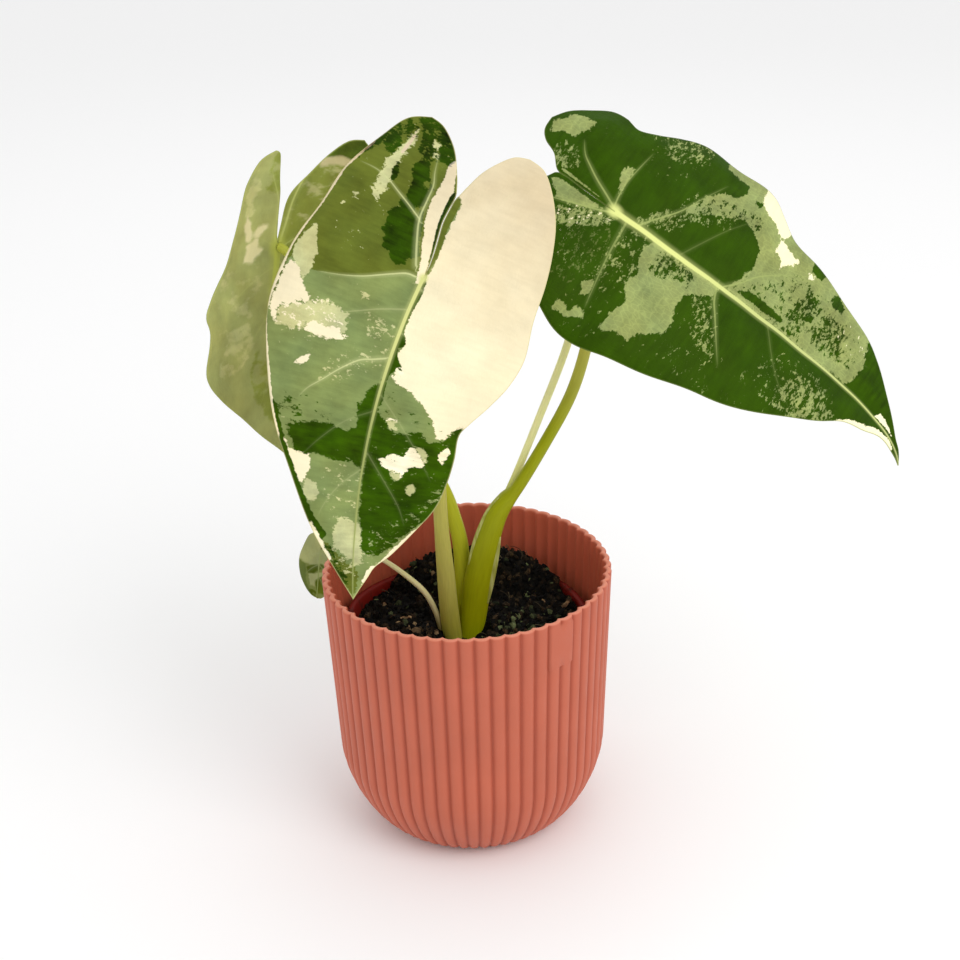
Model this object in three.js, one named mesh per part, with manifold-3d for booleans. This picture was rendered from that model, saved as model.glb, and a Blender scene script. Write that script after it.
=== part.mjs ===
// A young frydek alocasia in its nursery pot, standing in a ribbed cover pot.
// Millimetres, +Z up. The origin is the middle of the cover pot's flat base.
import * as THREE from "three";
import { mergeVertices } from "three/addons/utils/BufferGeometryUtils.js";
import Module from "manifold-3d";

const wasm = await Module();
wasm.setup();

// Driving dimensions of the cover pot
const POT_HEIGHT = 106;
const POT_RIM_RADIUS = 55;
const POT_TAPER = 0.037;
const POT_BASE_RADIUS = 33;
const POT_CURVE_TOP = 33;
const POT_CURVE_POWER = 1.6;
const POT_FLOOR = 3;
const POT_SHELL = 2.1;
const RIB_COUNT = 60;
const RIB_DEPTH = 1.3;
const RIB_TURN = 1.77;
const RIM_ROUNDING = 0.9;

// The smooth bare patch under the rim, in degrees round from the front towards +X
const PATCH_START = 31.77;
const PATCH_SPAN = 12;
const PATCH_LOW = 87;
const PATCH_HIGH = 104.6;
const PATCH_STEPS = 6;
const PATCH_PROUD = 0.05;
const PATCH_ROOT = 0.6;

// Gap kept between pieces that touch in the real plant
const GAP = 0.3;

// Driving dimensions of the nursery pot, soil and stem base
const INNER_WALL = 1;
const INNER_BASE_Z = POT_FLOOR + GAP;
const INNER_BASE_RADIUS = 31;
const INNER_TOP_Z = 83;
const INNER_TOP_RADIUS = 45.4;
const INNER_LIP = 1.4;
const INNER_LIP_HEIGHT = 3;
const LIP_PULL = 4.5;
const LIP_PULL_TOWARDS = 193;
const LIP_PULL_NARROWNESS = 3;
const DRAIN_COUNT = 6;
const DRAIN_RADIUS = 3;
const DRAIN_CIRCLE = 22;
const SOIL_TOP = 81.2;
const SOIL_HEAP = 1.6;
const SOIL_CRUMB = 1.5;
const BACK_HEAP = 7.5;
const BACK_HEAP_X = 3;
const BACK_HEAP_Y = 24;
const BACK_HEAP_HALF_LENGTH = 34;
const BACK_HEAP_HALF_WIDTH = 16;
const SOIL_SIDES = 56;
const LUMP_COUNT = 20;
const LUMP_SMALL = 1.3;
const LUMP_LARGE = 2.4;
const LUMP_SUNK = 0.6;
const STEM_X = -2.2;
const STEM_Y = -0.3;
const STEM_RADIUS = 10.8;
const STEM_LOW = 58;
const STEM_TOP = 80.5;

// Leaf blades
const BLADE_THICKNESS = 0.8;
const WAVE_HEIGHT = 1.1;
const WAVE_LENGTH = 31;
const RIB_HALF_WIDTH = 1.8;

const RADIANS = Math.PI / 180;

function finish(name, geometry, colour, roughness) {
  const material = new THREE.MeshStandardMaterial({ color: colour, roughness, metalness: 0 });
  const mesh = new THREE.Mesh(geometry, material);
  mesh.name = name;
  return mesh;
}

// The same draw of numbers every time, for the crumbs of the soil
function seededDraw(seed) {
  let state = seed;
  return () => {
    state = (state * 1664525 + 1013904223) % 4294967296;
    return state / 4294967296;
  };
}

// Closed solid from corner points and triangles
function solidFrom(points, triangles) {
  const geometry = new THREE.BufferGeometry();
  const flat = points.flatMap((point) => [point.x, point.y, point.z]);
  geometry.setAttribute("position", new THREE.Float32BufferAttribute(flat, 3));
  geometry.setIndex(triangles.flat());
  geometry.computeVertexNormals();
  return geometry;
}

// Closed solids that can be joined and cut, and back to plain geometry
function toManifold(geometry) {
  const bare = geometry.clone();
  bare.deleteAttribute("normal");
  bare.deleteAttribute("uv");
  const merged = mergeVertices(bare, 1e-4);
  return new wasm.Manifold(
    new wasm.Mesh({
      numProp: 3,
      vertProperties: new Float32Array(merged.attributes.position.array),
      triVerts: new Uint32Array(merged.index.array),
    }),
  );
}

function fromManifold(solid) {
  const mesh = solid.getMesh();
  const geometry = new THREE.BufferGeometry();
  geometry.setAttribute("position", new THREE.Float32BufferAttribute(mesh.vertProperties, 3));
  geometry.setIndex(new THREE.Uint32BufferAttribute(mesh.triVerts, 1));
  geometry.computeVertexNormals();
  return geometry;
}

// Rings of equal count joined in order, with a fan to the middle at both ends
function skinRings(rings, firstMiddle, lastMiddle) {
  const count = rings[0].length;
  const points = rings.flat();
  const triangles = [];
  for (let ring = 0; ring < rings.length - 1; ring += 1) {
    for (let column = 0; column < count; column += 1) {
      const next = (column + 1) % count;
      const a = ring * count + column;
      const b = ring * count + next;
      triangles.push([a, b, b + count], [a, b + count, a + count]);
    }
  }
  const first = points.push(firstMiddle) - 1;
  const last = points.push(lastMiddle) - 1;
  const lastRing = (rings.length - 1) * count;
  for (let column = 0; column < count; column += 1) {
    const next = (column + 1) % count;
    triangles.push([first, next, column]);
    triangles.push([last, lastRing + column, lastRing + next]);
  }
  return solidFrom(points, triangles);
}

// Cover pot: outside radius over the crests of the ribs at a height
function crestRadius(z) {
  const wallFoot = POT_RIM_RADIUS - POT_TAPER * (POT_HEIGHT - POT_CURVE_TOP);
  if (z >= POT_CURVE_TOP) {
    return POT_RIM_RADIUS - POT_TAPER * (POT_HEIGHT - z);
  }
  const drop = (POT_CURVE_TOP - z) / POT_CURVE_TOP;
  const spread = (1 - drop ** POT_CURVE_POWER) ** (1 / POT_CURVE_POWER);
  return POT_BASE_RADIUS + (wallFoot - POT_BASE_RADIUS) * spread;
}

// How far a rib's rounded back has dropped, 0 at its crest and 1 in the groove
function ribDrop(quarter) {
  return [1, 0.2, 0, 0.2][quarter];
}

function potRing(z, inset, ribShare) {
  const ring = [];
  for (let column = 0; column < RIB_COUNT * 4; column += 1) {
    const angle = (RIB_TURN - 90 + (360 * column) / (RIB_COUNT * 4)) * RADIANS;
    const radius = crestRadius(z) - inset - RIB_DEPTH * ribShare * ribDrop(column % 4);
    ring.push(new THREE.Vector3(radius * Math.cos(angle), radius * Math.sin(angle), z));
  }
  return ring;
}

function barePatch() {
  const rings = [PATCH_LOW, PATCH_HIGH].map((z) => {
    const outside = [];
    const inside = [];
    for (let step = 0; step <= PATCH_STEPS; step += 1) {
      const angle = (PATCH_START - 90 + (PATCH_SPAN * step) / PATCH_STEPS) * RADIANS;
      const edge = step === 0 || step === PATCH_STEPS ? RIB_DEPTH * 0.8 : 0;
      const radius = crestRadius(z) - edge + PATCH_PROUD;
      const depth = crestRadius(z) - RIB_DEPTH - PATCH_ROOT;
      outside.push(new THREE.Vector3(radius * Math.cos(angle), radius * Math.sin(angle), z));
      inside.unshift(new THREE.Vector3(depth * Math.cos(angle), depth * Math.sin(angle), z));
    }
    return [...outside, ...inside];
  });
  const middle = (ring) => {
    const sum = ring.reduce((total, point) => total.add(point), new THREE.Vector3());
    return sum.divideScalar(ring.length);
  };
  return skinRings(rings, middle(rings[0]), middle(rings[1]));
}

function coverPot() {
  const wall = POT_SHELL + RIB_DEPTH;
  const outside = [0, 1.2, 4, 9, 16, 24, POT_CURVE_TOP, POT_HEIGHT - RIM_ROUNDING];
  const rings = outside.map((z) => potRing(z, 0, z === 0 ? 0.3 : 1));
  rings.push(potRing(POT_HEIGHT, RIM_ROUNDING, 0.7));
  rings.push(potRing(POT_HEIGHT, wall - RIM_ROUNDING - RIB_DEPTH * 0.5, 0.6));
  const inside = [POT_HEIGHT - RIM_ROUNDING, POT_CURVE_TOP + 2, 22, 12, 6, POT_FLOOR];
  inside.forEach((z) => rings.push(potRing(z, POT_SHELL + (z < POT_CURVE_TOP ? 1.2 : 0), 1)));
  const shell = skinRings(
    rings,
    new THREE.Vector3(0, 0, 0),
    new THREE.Vector3(0, 0, POT_FLOOR),
  );
  const joined = toManifold(shell).add(toManifold(barePatch()));
  return finish("cover_pot", fromManifold(joined), 0xc8735c, 0.6);
}

// The nursery pot's soft lip stands higher on one side, where it has been pulled up
function pullLip(geometry) {
  const corners = geometry.attributes.position;
  const towards = LIP_PULL_TOWARDS * RADIANS;
  for (let index = 0; index < corners.count; index += 1) {
    const z = corners.getZ(index);
    const angle = Math.atan2(corners.getY(index), corners.getX(index));
    const nearness = Math.max(0, Math.cos(angle - towards)) ** LIP_PULL_NARROWNESS;
    if (z > INNER_TOP_Z - INNER_LIP_HEIGHT - 0.1) {
      corners.setZ(index, z + LIP_PULL * nearness);
    }
  }
}

// Nursery pot: outside radius at a height
function innerRadius(z) {
  const share = (z - INNER_BASE_Z) / (INNER_TOP_Z - INNER_BASE_Z);
  return INNER_BASE_RADIUS + (INNER_TOP_RADIUS - INNER_BASE_RADIUS) * share;
}

function nurseryPot() {
  const lipLow = INNER_TOP_Z - INNER_LIP_HEIGHT;
  const profile = [
    [0, INNER_BASE_Z],
    [INNER_BASE_RADIUS - 1, INNER_BASE_Z],
    [INNER_BASE_RADIUS, INNER_BASE_Z + 1],
    [innerRadius(lipLow), lipLow],
    [innerRadius(lipLow) + INNER_LIP, lipLow + 0.3],
    [INNER_TOP_RADIUS + INNER_LIP, INNER_TOP_Z],
    [INNER_TOP_RADIUS - INNER_WALL, INNER_TOP_Z],
    [innerRadius(lipLow) - INNER_WALL, lipLow - 0.2],
    [INNER_BASE_RADIUS - INNER_WALL, INNER_BASE_Z + INNER_WALL + 0.2],
    [0, INNER_BASE_Z + INNER_WALL + 0.2],
  ];
  const turned = new THREE.LatheGeometry(profile.map(([r, z]) => new THREE.Vector2(r, z)), 48);
  turned.rotateX(Math.PI / 2);
  pullLip(turned);
  let pot = toManifold(turned);
  for (let hole = 0; hole < DRAIN_COUNT; hole += 1) {
    const angle = (2 * Math.PI * hole) / DRAIN_COUNT;
    const drill = new THREE.CylinderGeometry(DRAIN_RADIUS, DRAIN_RADIUS, 6, 16);
    drill.rotateX(Math.PI / 2);
    drill.translate(
      DRAIN_CIRCLE * Math.cos(angle),
      DRAIN_CIRCLE * Math.sin(angle),
      INNER_BASE_Z + INNER_WALL,
    );
    pot = pot.subtract(toManifold(drill));
  }
  return finish("nursery_pot", fromManifold(pot), 0x5a1712, 0.5);
}

// How much higher the soil is heaped behind the stem
function backHeap(x, y) {
  const long = (x - BACK_HEAP_X) / BACK_HEAP_HALF_LENGTH;
  const wide = (y - BACK_HEAP_Y) / BACK_HEAP_HALF_WIDTH;
  return BACK_HEAP * Math.max(0, 1 - long * long - wide * wide);
}

// Bark chips and perlite lumps lying half sunk in the soil, as one solid each
function soilLumps() {
  const draw = seededDraw(7);
  const lumps = [];
  for (let index = 0; index < LUMP_COUNT; index += 1) {
    const size = LUMP_SMALL + (LUMP_LARGE - LUMP_SMALL) * draw();
    const angle = 2 * Math.PI * draw();
    const share = 0.42 + 0.44 * draw();
    const reach = share * INNER_TOP_RADIUS;
    const lump = new THREE.IcosahedronGeometry(size, 0);
    lump.scale(1, 0.6 + 0.3 * draw(), 0.9);
    lump.rotateZ(2 * Math.PI * draw());
    const x = reach * Math.cos(angle);
    const y = reach * Math.sin(angle);
    const height = SOIL_TOP + SOIL_HEAP * (1 - share * share) + backHeap(x, y) - LUMP_SUNK;
    lump.translate(x, y, height);
    lumps.push(lump);
  }
  return lumps;
}

// Soil: heaped top with crumbs and lumps, sides and floor a gap inside the nursery pot
function soilBody() {
  const columns = SOIL_SIDES;
  const draw = seededDraw(29);
  const low = INNER_BASE_Z + INNER_WALL + 0.2 + GAP;
  const side = (z) => innerRadius(z) - INNER_WALL - 0.25 - GAP;
  const ringAt = (radius, height) => {
    const ring = [];
    for (let column = 0; column < columns; column += 1) {
      const angle = (2 * Math.PI * column) / columns;
      const x = radius * Math.cos(angle);
      const y = radius * Math.sin(angle);
      ring.push(new THREE.Vector3(x, y, height(angle, x, y)));
    }
    return ring;
  };
  const edge = side(SOIL_TOP);
  const rings = [ringAt(side(low), () => low), ringAt(edge, () => SOIL_TOP - 1)];
  [0.96, 0.88, 0.8, 0.72, 0.64, 0.56, 0.48, 0.4, 0.32, 0.24, 0.12].forEach((share) => {
    const heap = SOIL_HEAP * (1 - share * share);
    rings.push(
      ringAt(edge * share, (angle, x, y) => {
        const swell = 0.8 * Math.sin(2 * angle + 1) * share;
        return SOIL_TOP + heap + backHeap(x, y) + swell + SOIL_CRUMB * (draw() - 0.6);
      }),
    );
  });
  const heaped = skinRings(
    rings,
    new THREE.Vector3(0, 0, low),
    new THREE.Vector3(0, 0, SOIL_TOP + SOIL_HEAP),
  );
  const bore = STEM_RADIUS + GAP;
  const depth = 40;
  const hole = new THREE.CylinderGeometry(bore, bore, depth, 40);
  hole.rotateX(Math.PI / 2);
  hole.translate(STEM_X, STEM_Y, STEM_LOW - GAP + depth / 2);
  let soil = toManifold(heaped);
  soilLumps().forEach((lump) => {
    soil = soil.add(toManifold(lump));
  });
  soil = soil.subtract(toManifold(hole));
  return finish("soil", fromManifold(soil), 0x231a14, 0.95);
}

// Stem base: the short upright rhizome that every stalk grows from, with its old leaf scars
function stemBase() {
  const profile = [
    [0, STEM_LOW],
    [6.5, STEM_LOW],
    [8.6, STEM_LOW + 2.5],
    [8.1, STEM_LOW + 6],
    [9.4, STEM_LOW + 8],
    [8.9, STEM_LOW + 12],
    [10.2, STEM_LOW + 14],
    [9.8, STEM_LOW + 18],
    [STEM_RADIUS, STEM_TOP - 2],
    [STEM_RADIUS - 0.8, STEM_TOP],
    [0, STEM_TOP],
  ];
  const turned = new THREE.LatheGeometry(profile.map(([r, z]) => new THREE.Vector2(r, z)), 32);
  turned.rotateX(Math.PI / 2);
  turned.translate(STEM_X, STEM_Y, 0);
  return finish("stem_base", turned, 0x6b5a33, 0.8);
}

// Stalks: stations of [x, y, z, half width, half depth], smoothed into one tapering loft.
// The foot is cut level to stand on what carries it, the head is cut along endNormal.
function stalk(name, stations, sides, steps, endNormal, colour) {
  const path = new THREE.CatmullRomCurve3(
    stations.map(([x, y, z]) => new THREE.Vector3(x, y, z)),
    false,
    "centripetal",
  );
  const girth = new THREE.CatmullRomCurve3(
    stations.map((station) => new THREE.Vector3(station[3], station[4], 0)),
    false,
    "centripetal",
  );
  const rings = [];
  for (let step = 0; step <= steps; step += 1) {
    const share = step / steps;
    const centre = path.getPoint(share);
    let along = path.getTangent(share);
    if (step === 0) {
      along = new THREE.Vector3(0, 0, 1);
    }
    if (step === steps && endNormal) {
      along = endNormal.clone();
    }
    const across = new THREE.Vector3(1, 0, 0);
    across.addScaledVector(along, -across.dot(along)).normalize();
    const deep = new THREE.Vector3().crossVectors(along, across);
    const size = girth.getPoint(share);
    const ring = [];
    for (let side = 0; side < sides; side += 1) {
      const angle = (2 * Math.PI * side) / sides;
      const point = centre.clone();
      point.addScaledVector(across, size.x * Math.cos(angle));
      point.addScaledVector(deep, size.y * Math.sin(angle));
      ring.push(point);
    }
    rings.push(ring);
  }
  return finish(name, skinRings(rings, path.getPoint(0), path.getPoint(1)), colour, 0.5);
}

// Leaf blade. Its own measures run along the midrib from the stalk (s, back lobes below zero)
// and across it (t, right of the midrib with the top face towards you and the tip down).
class Blade {
  constructor(shape) {
    Object.assign(this, shape);
    const azimuth = this.faceAzimuth * RADIANS;
    const lift = this.faceLift * RADIANS;
    this.up = new THREE.Vector3(
      Math.cos(azimuth) * Math.cos(lift),
      Math.sin(azimuth) * Math.cos(lift),
      Math.sin(lift),
    );
    const downhill = new THREE.Vector3(
      Math.cos(azimuth) * Math.sin(lift),
      Math.sin(azimuth) * Math.sin(lift),
      -Math.cos(lift),
    );
    const sideways = new THREE.Vector3().crossVectors(this.up, downhill);
    const turn = this.turn * RADIANS;
    this.along = downhill.multiplyScalar(Math.cos(turn)).addScaledVector(sideways, Math.sin(turn));
    this.across = new THREE.Vector3().crossVectors(this.up, this.along);
    this.place = new THREE.Vector3(...this.junction);
  }

  // Direction of the midrib and across it, s from the stalk
  frameAt(s) {
    const share = Math.abs(s) / this.length;
    let dip = -this.lobeDroop * RADIANS * (-s / 60);
    let swing = 0;
    if (s >= 0) {
      dip = this.droop * RADIANS * share ** this.droopPower;
      swing = this.sway * RADIANS * share ** this.swayPower;
    }
    const flat = this.along.clone().multiplyScalar(Math.cos(swing));
    flat.addScaledVector(this.across, Math.sin(swing));
    const tangent = flat.multiplyScalar(Math.cos(dip)).addScaledVector(this.up, -Math.sin(dip));
    const right = this.along.clone().multiplyScalar(-Math.sin(swing));
    right.addScaledVector(this.across, Math.cos(swing));
    return { tangent, right, normal: new THREE.Vector3().crossVectors(tangent, right) };
  }

  midribAt(s) {
    const steps = 24;
    const point = this.place.clone();
    for (let step = 0; step < steps; step += 1) {
      const { tangent } = this.frameAt((s * (step + 0.5)) / steps);
      point.addScaledVector(tangent, s / steps);
    }
    return point;
  }

  // Point of the blade's middle surface: folded up from the midrib, domed and waved
  pointAt(s, t) {
    const { right, normal } = this.frameAt(s);
    const side = t > 0 ? 1 : 0;
    const fold = this.fold[side] * RADIANS;
    const bend = (this.dome[side] * RADIANS) / this.halfWidth;
    const reach = Math.abs(t);
    const out = (Math.sin(fold) - Math.sin(fold - bend * reach)) / bend;
    let rise = (Math.cos(fold - bend * reach) - Math.cos(fold)) / bend;
    const ripple = Math.sin((2 * Math.PI * (s + this.wavePhase + 9 * side)) / WAVE_LENGTH);
    rise += WAVE_HEIGHT * this.waviness * (reach / this.halfWidth) ** 2 * ripple;
    return this.midribAt(s)
      .addScaledVector(right, Math.sign(t) * out)
      .addScaledVector(normal, rise);
  }
}

// Smooth line through hand-set [s, t] points, read back as t at a given s
function edgeReader(points) {
  const curve = new THREE.SplineCurve(points.map(([s, t]) => new THREE.Vector2(s, t)));
  const dense = curve.getPoints(points.length * 12);
  return (s) => {
    for (let index = 0; index < dense.length - 1; index += 1) {
      const a = dense[index];
      const b = dense[index + 1];
      if (s <= b.x || index === dense.length - 2) {
        const share = b.x === a.x ? 0 : THREE.MathUtils.clamp((s - a.x) / (b.x - a.x), 0, 1);
        return a.y + (b.y - a.y) * share;
      }
    }
    return 0;
  };
}

// Rows of s for one half: close together at the rounded back of the lobe and at the tip
function halfRows(back, length, lobeRows, bodyRows) {
  const rows = [];
  for (let row = 0; row < lobeRows; row += 1) {
    rows.push(back * Math.cos((Math.PI / 2) * (row / lobeRows)));
  }
  for (let row = 0; row <= bodyRows; row += 1) {
    rows.push(length * Math.sin((Math.PI / 2) * (row / bodyRows)) ** 1.1);
  }
  return rows;
}

function leafBlade(name, shape, colour) {
  const blade = new Blade(shape);
  const points = [];
  const keels = [];
  const triangles = [];
  const known = new Map();
  const addPoint = (s, t) => {
    const key = `${s.toFixed(3)} ${t.toFixed(3)}`;
    if (!known.has(key)) {
      const onMidrib = s >= 0 && Math.abs(t) < 1e-6;
      known.set(key, points.push(blade.pointAt(s, t)) - 1);
      keels.push(onMidrib ? shape.keel * (1 - 0.9 * (s / shape.length)) : 0);
    }
    return known.get(key);
  };
  [-1, 1].forEach((side) => {
    const outerPoints = side < 0 ? shape.leftEdge : shape.rightEdge;
    const sinusPoints = side < 0 ? shape.leftSinus : shape.rightSinus;
    const outer = edgeReader(outerPoints);
    const sinus = edgeReader(sinusPoints);
    const rows = halfRows(outerPoints[0][0], shape.length, shape.rows[0], shape.rows[1]);
    const grid = rows.map((s, index) => {
      const inner = s < 0 ? sinus(s) : 0;
      const end = index === rows.length - 1 ? 0 : outer(s);
      const width = end - inner;
      const first = Math.min(RIB_HALF_WIDTH / Math.max(Math.abs(width), 0.01), 0.25);
      const shares = [0, first, first + (1 - first) * 0.36, first + (1 - first) * 0.7, 1];
      return shares.map((share) => addPoint(s, inner + width * share));
    });
    for (let row = 0; row < grid.length - 1; row += 1) {
      for (let column = 0; column < grid[row].length - 1; column += 1) {
        const a = grid[row][column];
        const b = grid[row][column + 1];
        const c = grid[row + 1][column + 1];
        const d = grid[row + 1][column];
        const quad = side > 0 ? [[d, c, b], [d, b, a]] : [[a, b, c], [a, c, d]];
        quad
          .filter(([i, j, k]) => i !== j && j !== k && k !== i)
          .forEach((triangle) => triangles.push(triangle));
      }
    }
  });
  return finish(name, thicken(points, triangles, keels), colour, 0.45);
}

// A sheet made solid: both faces split alike, a rim of triangles round its edge
function thicken(points, triangles, keels) {
  const sheet = solidFrom(points, triangles);
  const normals = sheet.attributes.normal;
  const half = BLADE_THICKNESS / 2;
  const count = points.length;
  const both = [];
  [1, -1].forEach((face) => {
    points.forEach((point, index) => {
      const normal = new THREE.Vector3().fromBufferAttribute(normals, index);
      const offset = face > 0 ? half : -half - keels[index];
      both.push(point.clone().addScaledVector(normal, offset));
    });
  });
  const open = new Map();
  triangles.forEach(([a, b, c]) => {
    [[a, b], [b, c], [c, a]].forEach(([from, to]) => {
      const back = `${to} ${from}`;
      if (open.has(back)) {
        open.delete(back);
      } else {
        open.set(`${from} ${to}`, [from, to]);
      }
    });
  });
  const faces = [...triangles];
  triangles.forEach(([a, b, c]) => faces.push([c + count, b + count, a + count]));
  open.forEach(([from, to]) => {
    faces.push([from, from + count, to + count], [from, to + count, to]);
  });
  return solidFrom(both, faces);
}

const FRONT_LEAF = {
  junction: [-11, -20, 227],
  faceAzimuth: -98,
  faceLift: 33,
  turn: -23.6,
  length: 111.5,
  halfWidth: 48,
  droop: 14,
  droopPower: 1,
  lobeDroop: 14,
  sway: 25,
  swayPower: 1,
  fold: [9, 9],
  dome: [22, 22],
  waviness: 0.8,
  wavePhase: 4,
  keel: 1.1,
  rows: [8, 17],
  leftEdge: [
    [-53, -23.5], [-49.5, -31], [-41, -36], [-24, -42.7], [-8, -45], [8, -47.6], [22, -48],
    [38, -42], [54.5, -34.7], [71, -24.6], [87.5, -15.4], [101.5, -6.2], [111.5, 0],
  ],
  leftSinus: [
    [-53, -23.5], [-51.3, -17.8], [-45.4, -11], [-37.5, -6.2], [-30, -3.1], [-15, -1.1], [0, 0],
  ],
  rightEdge: [
    [-53, 14], [-51, 20.5], [-44.5, 26.6], [-35.3, 32.3], [-25.3, 36], [-13.4, 38.8],
    [-2.8, 40.2], [13, 42.7], [25, 41.3], [35, 37.2], [43.7, 32.4], [49, 30], [58, 30.3],
    [67.6, 29.2], [77.4, 26.4], [86.3, 20.5], [95.2, 13.2], [100, 7.6], [104, 5], [111.5, 0],
  ],
  rightSinus: [
    [-53, 14], [-51.6, 8.9], [-46.8, 4.4], [-41.2, 1.4], [-34, 0.5], [-15, 0.4], [0, 0],
  ],
};

const RIGHT_LEAF = {
  junction: [56.7, 18, 236.9],
  faceAzimuth: -70,
  faceLift: 43,
  turn: 41.8,
  length: 140.5,
  halfWidth: 52,
  droop: 16,
  droopPower: 1.5,
  lobeDroop: 35,
  sway: -49,
  swayPower: 12,
  fold: [8, 8],
  dome: [24, 24],
  waviness: 0.8,
  wavePhase: 13,
  keel: 1.3,
  rows: [8, 18],
  leftEdge: [
    [-33, -19], [-30, -27], [-23, -35], [-14, -41.5], [-6, -46.5], [5, -51.3], [16, -52],
    [27, -49.6], [40.5, -46], [54.5, -42], [68, -38], [81, -32.3], [94, -24.3], [102.5, -18.6],
    [111, -11.6], [120, -7.7], [127.5, -3.2], [135, -1.6], [140.5, 0],
  ],
  leftSinus: [[-33, -19], [-32.5, -12], [-30.5, -6], [-27.3, -1.4], [-24, 1.8], [-12, 0.5], [0, 0]],
  rightEdge: [
    [-39, 23], [-35, 29.2], [-28.5, 34.1], [-22, 37.7], [-15.6, 37.7], [-9.6, 35.9],
    [-2.8, 39.8], [5, 45.5], [13.3, 48.9], [25.4, 49.6], [38, 50.8], [46, 48.5], [53, 42.8],
    [61, 36.9], [72.7, 33.9], [86.2, 28.8], [101, 23.3], [110, 17.5], [120.3, 9.4], [130, 3.2],
    [135.5, 1.6], [140.5, 0],
  ],
  rightSinus: [[-39, 23], [-38.5, 17], [-35.5, 12.4], [-30, 9.2], [-25.4, 4.8], [-12, 1.8], [0, 0]],
};

const REAR_LEAF = {
  junction: [-64.7, 26, 226.3],
  faceAzimuth: 147,
  faceLift: 6,
  turn: 9,
  length: 92,
  halfWidth: 40,
  droop: 8,
  droopPower: 1,
  lobeDroop: 30,
  sway: -32,
  swayPower: 1.5,
  fold: [-16, 4],
  dome: [22, 14],
  waviness: 0.9,
  wavePhase: 20,
  keel: 0.9,
  rows: [8, 15],
  leftEdge: [
    [-45, -25], [-38, -33], [-25, -36], [-10, -37], [5, -39], [20, -38.5], [35, -35],
    [50, -27.5], [65, -17], [78, -8], [92, 0],
  ],
  leftSinus: [[-45, -25], [-43, -19], [-36, -13], [-28, -8], [-18.8, -2], [-8, -0.8], [0, 0]],
  rightEdge: [
    [-37, 13], [-33.6, 20.5], [-25.2, 23.4], [-15.3, 23.7], [-4.4, 26.2], [5, 28.7],
    [13.4, 35.6], [18.5, 39.8], [24.2, 37.8], [34.8, 38.9], [40.5, 36.9], [48, 30.6], [59, 20],
    [70.5, 11.6], [80, 5.5], [92, 0],
  ],
  rightSinus: [[-37, 13], [-35, 9.5], [-25, 5], [-18.8, 2.6], [-8, 0.8], [0, 0]],
};

const SMALL_LEAF = {
  junction: [-57, 25, 101.5],
  faceAzimuth: -128,
  faceLift: 18,
  turn: 0,
  length: 20,
  halfWidth: 12,
  droop: 10,
  droopPower: 1,
  lobeDroop: 10,
  sway: 0,
  swayPower: 1,
  fold: [8, 8],
  dome: [24, 24],
  waviness: 0.3,
  wavePhase: 0,
  keel: 0.4,
  rows: [4, 9],
  leftEdge: [[-6.5, -4.5], [-4.5, -8], [0, -10.5], [6, -11.5], [12, -9.5], [17, -5], [20, 0]],
  leftSinus: [[-6.5, -4.5], [-4.5, -2], [-2, -0.7], [0, 0]],
  rightEdge: [[-6, 4], [-4, 6.5], [0, 7.6], [6, 7.4], [12, 6], [17, 3.2], [20, 0]],
  rightSinus: [[-6, 4], [-4.5, 2], [-2, 0.7], [0, 0]],
};

// Where a stalk's head meets the back of its blade
function headOf(shape, depth) {
  const blade = new Blade(shape);
  const under = BLADE_THICKNESS / 2 + shape.keel + GAP + 0.1 + depth;
  return blade.place.clone().addScaledVector(blade.up, -under);
}

function headStation(shape, radius) {
  const head = headOf(shape, 0);
  return [head.x, head.y, head.z, radius, radius];
}

function neckStation(shape, depth, rise, radius) {
  const neck = headOf(shape, depth);
  return [neck.x, neck.y, neck.z + rise, radius, radius];
}

const STALK_FOOT = STEM_TOP + GAP;

const FRONT_STALK = [
  [-7, -3.2, STALK_FOOT, 3.1, 2.9],
  [-7.3, -4, 92, 3.6, 3],
  [-8, -5.2, 107, 3.3, 2.8],
  [-8.8, -7.4, 127, 2.7, 2.5],
  [-9.1, -12, 160, 2.3, 2.3],
  [-9.8, -14, 195, 2, 2],
  neckStation(FRONT_LEAF, 4.5, -3.5, 2),
  headStation(FRONT_LEAF, 1.8),
];

const RIGHT_STALK = [
  [1.7, -0.4, STALK_FOOT, 4.5, 3.7],
  [2.8, 0, 90, 5, 4],
  [4, 0.3, 98, 5.4, 4.2],
  [6.8, 1.2, 111, 5.3, 4.2],
  [9.6, 2.8, 120.5, 4.6, 4.4],
  [12.4, 4.6, 126.5, 4.1, 4.8],
  [15.4, 5.8, 131, 3.8, 4.6],
  [17.6, 4.8, 134, 2.8, 2.8],
  [28.9, 8, 154, 2.5, 2.5],
  [40.5, 12, 170.5, 2.3, 2.3],
  [46.3, 16, 186, 2.15, 2.15],
  [50.5, 20.5, 204, 2, 2],
  neckStation(RIGHT_LEAF, 5.5, -3.5, 2),
  headStation(RIGHT_LEAF, 1.8),
];

const REAR_STALK = [
  [-3.8, 5.6, STALK_FOOT, 2.5, 2.4],
  [-3.4, 6.6, 97, 2.9, 2.7],
  [-4.2, 7.6, 113, 2.8, 2.6],
  [-6, 8.6, 123, 2.6, 2.4],
  [-9.2, 10, 133, 2.3, 2.3],
  [-22, 13, 162, 2, 2],
  [-38, 15.5, 193, 1.8, 1.8],
  [-50, 17.5, 215, 1.7, 1.7],
  neckStation(REAR_LEAF, 4.5, -2, 1.7),
  headStation(REAR_LEAF, 1.5),
];

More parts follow.
